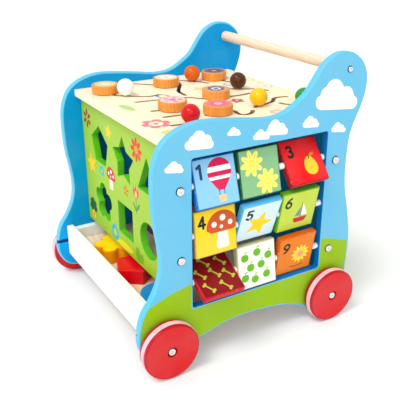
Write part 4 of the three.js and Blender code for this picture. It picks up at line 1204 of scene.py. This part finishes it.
# --------------------------------------------------------------- wheels and axles
RED_W = lin(208, 30, 34)
# RED_RIM_SHADE: a darker red for the rounded flanges and rim beside the tyre, painted shade on the wheel's shoulders.
RED_RIM_SHADE = lin(178, 0, 30)
for end, y in AXLE_Y.items():
    w0, w1 = PANEL_OUT + GAP, WHEEL_FACE - GAP
    n0 = WHEEL_FACE + 12 + GAP
    n1 = n0 + 6.8
    half = [(4, 0), (4, w0), (7, w0, 0.3), (7, w1, 0.3), (4, w1), (4, n0), (5.9, n0, 0.2), (5.9, n1 - 0.9, 0.7), (5.0, n1, 0.5), (2.2, n1, 0.2), (1.9, n1 - 1.6), (0, n1 - 1.8)]
    up_ = fillet(half[1:], 4)
    prof = [(r, -h) for r, h in up_][::-1] + up_
    hexes = {i for i, (r, h) in enumerate(prof) if r > 5.0 and n0 - 0.01 <= abs(h) <= n1 - 0.8}
    o = lathe(f"{end}_axle_rod", prof, 60, (0.8, 0.8, 0.8), frame_of(Y, Z, X, (0, y, AXLE_Z)), shape=hex_at(hexes), angle=32)
    piece(o, f"{end}_axle", "nickel")
    for side, s in (("left", 1), ("right", -1)):
        g0, g1, T = 6.3, 15.3, 20.0
        prof = fillet([(4.35, 0), (30, 0), (45, 0, 4.0), (45, g0, 0.35), (41, g0), (41, g1), (45, g1, 0.35), (45, T, 4.0), (30, T),
                       (10.0, T), (8.0, T, 0.9), (8.0, 12), (4.35, 12), (4.35, 6), (4.35, 0)], 8)[:-1]
        # segments out at the flange rims take the darker red, painted shade
        o = lathe(f"{end}_{side}_wheel_turned", prof, 128, RED_W, along_x(s, s * WHEEL_FACE, y, AXLE_Z), closed=True, edge_at=lambda j, p=prof: 1.0 if p[j][0] > 44.6 else 0.0,
                  colour_at=lambda j, p=prof: RED_RIM_SHADE if min(p[j][0], p[(j + 1) % len(p)][0]) > 41.3 else RED_W)
        piece(o, f"{end}_{side}_wheel", "wheel")
        t0, t1, r0 = g0 + GAP, g1 - GAP, 41.3
        mid = (t0 + t1) / 2
        pr = [(r0, t0), (45.4, t0, 0.5)]
        for c in np.linspace(t0 + 1.5, t1 - 1.5, 4):  # shallow tread ribs
            pr += [(46.0, c - 0.65, 0.2), (46.0, c + 0.65, 0.2), (45.8, c + 0.85, 0.1)]
        pr = pr[:-1] + [(45.4, t1, 0.5), (r0, t1)]
        prof = fillet(pr, 3)
        o = lathe(f"{end}_{side}_tyre_band", prof, 128, (0.8, 0.5, 0.5), along_x(s, s * WHEEL_FACE, y, AXLE_Z), closed=True)
        piece(o, f"{end}_{side}_tyre", "tyre")

# ------------------------------------------------------------------ rods and tiles
tile_y = lambda c, r: TILE["y_mid"] + (c - 1) * TILE["pitch"] + next(t[3] for t in TILES.values() if t[0] == c and t[1] == r)
for row, z in enumerate(ROD["z"]):
    y0, y1, hw = WINDOW["y0"], WINDOW["y1"], TILE["w"] / 2
    at = [tile_y(c, row) for c in range(3)]
    spans = [(y0 + GAP, at[0] - hw - GAP), (at[0] + hw + GAP, at[1] - hw - GAP), (at[1] + hw + GAP, at[2] - hw - GAP), (at[2] + hw + GAP, y1 - GAP)]
    pr = [(0, y0 - ROD["seat"]), (2.5, y0 - ROD["seat"], 0.5)]
    for a, b in spans:
        pr += [(2.5, a), (5.0, a, 0.4), (5.0, b, 0.4), (2.5, b)]
    pr += [(2.5, y1 + ROD["seat"], 0.5), (0, y1 + ROD["seat"])]
    nm = ("upper", "middle", "lower")[row]
    o = lathe(f"tile_rod_{nm}_spaced", fillet(pr, 3), 48, WHITE, frame_of(Z, X, Y, (ROD["x"], 0, z)), angle=32)
    piece(o, f"tile_rod_{nm}", "white_plastic")

BROWN = lin(96, 56, 24)
# The edge colour goes on each tile's sides and back. For most tiles it is a darker copy of the face colour, painted
# shade on the sides and back. Tile 7's is lighter than its face.
TILE_LOOK = {  # face, edge
    "tile_1_blue": (lin(139, 198, 232), lin(24, 116, 190)), "tile_2_flowers": (lin(134, 186, 134), lin(36, 104, 58)),
    "tile_3_red": (lin(234, 22, 26), lin(172, 8, 12)), "tile_4_yellow": (lin(248, 208, 30), lin(196, 164, 84)),
    "tile_5_star": (lin(214, 236, 248), lin(78, 172, 224)), "tile_6_lime": (lin(196, 216, 76), lin(104, 178, 30)),
    "tile_7_maroon": (lin(134, 6, 12), lin(188, 10, 34)), "tile_8_apples": (lin(252, 252, 228), lin(196, 190, 152)),
    "tile_9_orange": (lin(230, 126, 16), lin(206, 88, 6)),
}


def apple(cx, cy, r, c):
    body = []
    for i in range(30):
        t = 2 * math.pi * i / 30
        k = 1 - 0.13 * math.exp(-((t - math.pi / 2) / 0.32) ** 2) - 0.05 * math.exp(-((t - 3 * math.pi / 2) / 0.3) ** 2)
        body.append((cx + r * k * math.cos(t), cy + r * 0.94 * k * math.sin(t)))
    return [(body, c), (band([(cx, cy + r * 0.8), (cx + r * 0.12, cy + r * 1.3)], r * 0.16, 3), c), (ellipse(cx + r * 0.42, cy + r * 1.28, r * 0.34, r * 0.15, 0.5, 12), c)]


def bone(cx, cy, ln, turn, c):
    u, v = (math.cos(turn), math.sin(turn)), (-math.sin(turn), math.cos(turn))
    out = [(band([(cx - u[0] * ln * 0.36, cy - u[1] * ln * 0.36), (cx + u[0] * ln * 0.36, cy + u[1] * ln * 0.36)], ln * 0.115, 4), c)]
    for s in (-1, 1):
        for q in (-1, 1):
            out.append((circle(cx + s * u[0] * ln * 0.40 + q * v[0] * ln * 0.10, cy + s * u[1] * ln * 0.40 + q * v[1] * ln * 0.10, ln * 0.105, 14), c))
    return out


def tile_prints(name):
    face, _ = TILE_LOOK[name]
    if name == "tile_1_blue":
        return digit("1", -23.8, 17.0, 22, lin(40, 60, 104), face) + balloon(7.5, 0.0, 66, lin(214, 36, 84), lin(252, 246, 240), lin(236, 196, 140))
    if name == "tile_2_flowers":
        c = lin(250, 238, 110)
        out = []
        for x, y in ((-13.0, 14.2), (11.4, -15.6)):
            for i in range(8):
                a = i * math.pi / 4 + 0.2
                out.append((ellipse(x + 11.6 * math.cos(a), y + 11.6 * math.sin(a), 8.4, 4.2, a, 20), c))
            for i in range(8):
                a = i * math.pi / 4 + 0.2
                out.append((band([(x + 7.5 * math.cos(a), y + 7.5 * math.sin(a)), (x + 13.5 * math.cos(a), y + 13.5 * math.sin(a))], 0.7, 3), lin(214, 190, 58)))
            out += [(circle(x, y, 6.6, 24), c), (circle(x, y, 5.2, 24), lin(226, 196, 40)), (circle(x, y, 4.2, 22), c)]
        return out
    if name == "tile_3_red":
        return digit("3", -19.5, 16.8, 20, INK, face) + pear(10, -4, 42, lin(250, 196, 36), BROWN, lin(228, 128, 20))
    if name == "tile_4_yellow":
        return digit("4", -22.6, 17.5, 20, INK, face) + toadstool(11, -1, 58, lin(206, 84, 30), lin(255, 250, 240), lin(252, 240, 222))
    if name == "tile_5_star":
        return digit("5", -19.5, 17.0, 19.5, INK, face) + [(softened(star(1.6, -5.2, 26.0, 11.2, 5, math.pi / 2 - 0.30), 1.0, 3), lin(252, 214, 36))]
    if name == "tile_6_lime":
        return digit("6", -21, 17.3, 19.5, lin(30, 54, 36), face) + boat(6.5, -5.5, 42, lin(200, 40, 40), lin(250, 250, 246), lin(110, 140, 160), BROWN)
    if name == "tile_7_maroon":
        c = lin(184, 192, 66)
        return sum([bone(x, y, 21, -0.91, c) for x, y in ((-7.3, 24.2), (19.5, 20.1), (-22.5, 5.3), (1.3, 2.4), (22.0, -4.1), (-19.5, -19.6), (8.0, -22.4))], [])
    if name == "tile_8_apples":
        c = lin(104, 178, 34)
        return sum([apple(x, y, 6.9, c) for x, y in ((-21.6, 15.4), (1, 20.6), (21.4, 11.7), (-11.8, -2.0), (7.8, -0.6), (17.2, -18.8), (-22.4, -17.4), (-4.6, -22.6))], [])
    return digit("9", -20.2, 15.4, 19, lin(52, 28, 18), face) + sun(9.5, -2.0, 38, lin(255, 226, 60), lin(250, 206, 40), lin(238, 150, 130)) + [(band([(-7, -24), (4, -25.5), (18, -24)], 2.0, 4), lin(176, 60, 20))]


for name, (col, row, turn, _) in TILES.items():
    face, edge = TILE_LOOK[name]
    w, h, t = TILE["w"] / 2, TILE["h"] / 2, TILE["t"]
    place = frame_of(Y, Z, X, (ROD["x"], tile_y(col, row), ROD["z"][row]))
    at = Matrix.Translation(place.translation)
    turned_m = at @ Matrix.Rotation(math.radians(turn), 4, "Y") @ at.inverted() @ place
    local = turned_m @ Matrix.Translation((0, 0, -t / 2 * MM))
    o = plate(name + "_printed", rounded_rect(-w, -h, w, h, 2.4, 6), [], t, 2.0, 2.0, (face, edge, edge), tile_prints(name), local, steps=6)
    cutter = lathe("cut_bore", [(0, -w - 3), (2.9, -w - 3), (2.9, w + 3), (0, w + 3)], 32, RAW, local @ Matrix(((0, 0, 1, 0), (1, 0, 0, 0), (0, 1, 0, t / 2 * MM), (0, 0, 0, 1))))
    carve(o, [cutter])
    piece(o, name, "tile")

# -------------------------------------------------------------------- the tokens
BALL_C = {"ball_white": lin(250, 248, 242), "ball_orange": lin(208, 92, 3), "ball_brown": lin(80, 40, 13), "ball_red": lin(206, 10, 24), "ball_yellow": lin(248, 188, 0), "ball_green": lin(40, 150, 66)}
a9 = lambda c, k=0.9: (*c, k)
bare = (0.8, 0.6, 0.4, 0.0)


def disc_prints(name):
    R = DISC_R
    if name == "disc_green":
        return [(circle(0, 0, 17.5, 48), a9(lin(196, 214, 158))), (petals(0, 0, 9.5, 5, 0.6), a9(lin(222, 228, 190)))]
    if name == "disc_gold":
        return [(circle(0, 0, 19, 48), a9(lin(240, 214, 186))), (softened(star(0, 0, 15, 7, 6, 0.3), 1, 3), a9(lin(252, 250, 244))), (circle(0, 0, 4.5, 20), a9(lin(236, 178, 90)))]
    if name == "disc_navy":
        return [(circle(0, 0, 18.5, 48), a9(lin(96, 100, 132))), (petals(0, 0, 13.5, 6, 0.55), a9(lin(40, 50, 92))), (circle(0, 0, 5, 20), a9(lin(214, 176, 130)))]
    if name == "disc_pink":
        out = [(circle(0, 0, 19, 48), a9(lin(238, 206, 206)))]
        for i in range(5):
            a = i * 2 * math.pi / 5 + 0.4
            out.append((circle(11.5 * math.cos(a), 11.5 * math.sin(a), 4.6, 20), a9(lin(178, 160, 212) if i % 2 else lin(236, 122, 160))))
        return out + [(circle(0, 0, 5.4, 22), a9(lin(226, 70, 130)))]
    if name == "disc_spots":
        out = [(circle(0, 0, 18.5, 48), a9(lin(190, 168, 150), 0.7)), (petals(0, 0, 15, 8, 0.7, 0.2), a9(lin(24, 44, 104))), (petals(0, 0, 9.0, 8, 0.72, 0.2), a9(lin(226, 230, 240)))]
        return out + [(circle(0, 0, 4.2, 20), a9(lin(30, 50, 110)))]
    return [(circle(0, 0, 18.8, 48), a9(lin(228, 104, 132))), (circle(0, 0, 12.0, 36), a9(lin(216, 84, 116))), (petals(0, 0, 7.0, 5, 0.7), a9(lin(242, 190, 180)))]


under = -(TOP["z1"] - TOP["z0"]) - LIFT
for name, t in TOKENS.items():
    at = (t["at"][0], t["at"][1], TOP["z1"])
    # peg and keeper button, common to both kinds
    foot = [(0, under - 3), (7, under - 3, 0.9), (7, under, 0.3), (2.6, under, 0.2)]
    if name.startswith("disc"):
        spin = {"disc_green": 0.3, "disc_gold": 1.1, "disc_navy": 2.0, "disc_pink": 0.8, "disc_spots": 2.7, "disc_ring": 1.7}[name]
        m = frame_of(X, Y, Z, (at[0], at[1], at[2])) @ Matrix.Rotation(spin, 4, "Z")
        o = plate(name + "_turned", circle(0, 0, DISC_R, 96), [], DISC_T, 1.3, 1.3, (bare, bare, bare), disc_prints(name), m @ Matrix.Translation((0, 0, LIFT * MM)), steps=5)
        peg = lathe(name + "_peg", fillet(foot + [(2.6, LIFT + 2.0), (0, LIFT + 2.0)], 4), 40, a9(lin(206, 150, 92)), m, angle=32)
        md = o.modifiers.new("join", "BOOLEAN")
        md.operation, md.solver, md.object = "UNION", "EXACT", peg
        apply_mods(o)
        bpy.data.objects.remove(peg)
        piece(o, name, "beech_disc")
    else:
        cz = LIFT + BALL_R
        a0 = -math.acos(5 / BALL_R)
        prof = fillet(foot + [(2.6, cz + BALL_R * math.sin(a0))], 4)
        prof += [(5.0 - 0.35, cz + BALL_R * math.sin(a0))] + [(BALL_R * math.cos(a), cz + BALL_R * math.sin(a)) for a in np.linspace(a0 + 0.035, math.pi / 2, 40)[:-1]] + [(0, cz + BALL_R)]
        split = next(i for i, q in enumerate(prof) if q[0] > 4.5 and q[1] > 0)
        peg_c = lin(214, 178, 128)
        o = lathe(name + "_turned", prof, 72, BALL_C[name], frame_of(X, Y, Z, at), colour_at=lambda j, c=BALL_C[name], s=split: c if j >= s - 1 else peg_c)
        piece(o, name, "gloss")

# -------------------------------------------------------------------- the blocks
BLOCK_C = {"block_flower": lin(255, 206, 0), "block_pentagon": lin(222, 4, 22), "block_circle": lin(18, 124, 196), "block_star": lin(238, 108, 22), "block_square": lin(112, 66, 156), "block_triangle": lin(36, 146, 64)}
BLOCK_E = {"block_flower": lin(240, 150, 6)}
for name, (kind, x, y, turn) in BLOCKS.items():
    p = hole_outline(kind, -BLOCK_PLAY)
    if kind in ("square", "triangle", "pentagon", "star"):
        p = softened(p, 2.2, 5)
    c = BLOCK_C[name]
    o = plate(name + "_turned", p, [], BLOCK_T, 1.5, 1.5, (c, BLOCK_E.get(name, c), c), (), frame_of(X, Y, Z, (x, y, BLOCK_Z)) @ Matrix.Rotation(math.radians(turn), 4, "Z"), steps=5)
    piece(o, name, "block")

# ------------------------------------------------------------- floor and lighting
bpy.ops.mesh.primitive_plane_add(size=14, location=(0, 0, 0))
floor = bpy.context.object
floor.name = "studio_floor"
fm, nt, b = nodes_of("studio_floor")
b.inputs["Base Color"].default_value = (0.88, 0.88, 0.88, 1)
b.inputs["Roughness"].default_value = 0.7
b.inputs["Specular IOR Level"].default_value = 0.2
floor.data.materials.append(fm)

world = bpy.data.worlds.new("studio")
scene.world = world
world.use_nodes = True
world.node_tree.nodes["Background"].inputs[0].default_value = (1, 1, 1, 1)
world.node_tree.nodes["Background"].inputs[1].default_value = 0.80


for lamp_name, energy, spread, way in (("key", 1.6, 26, (0.14, -0.52, 0.84)), ("fill", 0.85, 50, (0.86, -0.50, 0.62))):
    sun = bpy.data.lights.new(lamp_name, "SUN")
    sun.energy, sun.angle = energy, math.radians(spread)
    lamp = bpy.data.objects.new(lamp_name, sun)
    lamp.rotation_euler = Vector(way).to_track_quat("Z", "Y").to_euler()
    scene.collection.objects.link(lamp)
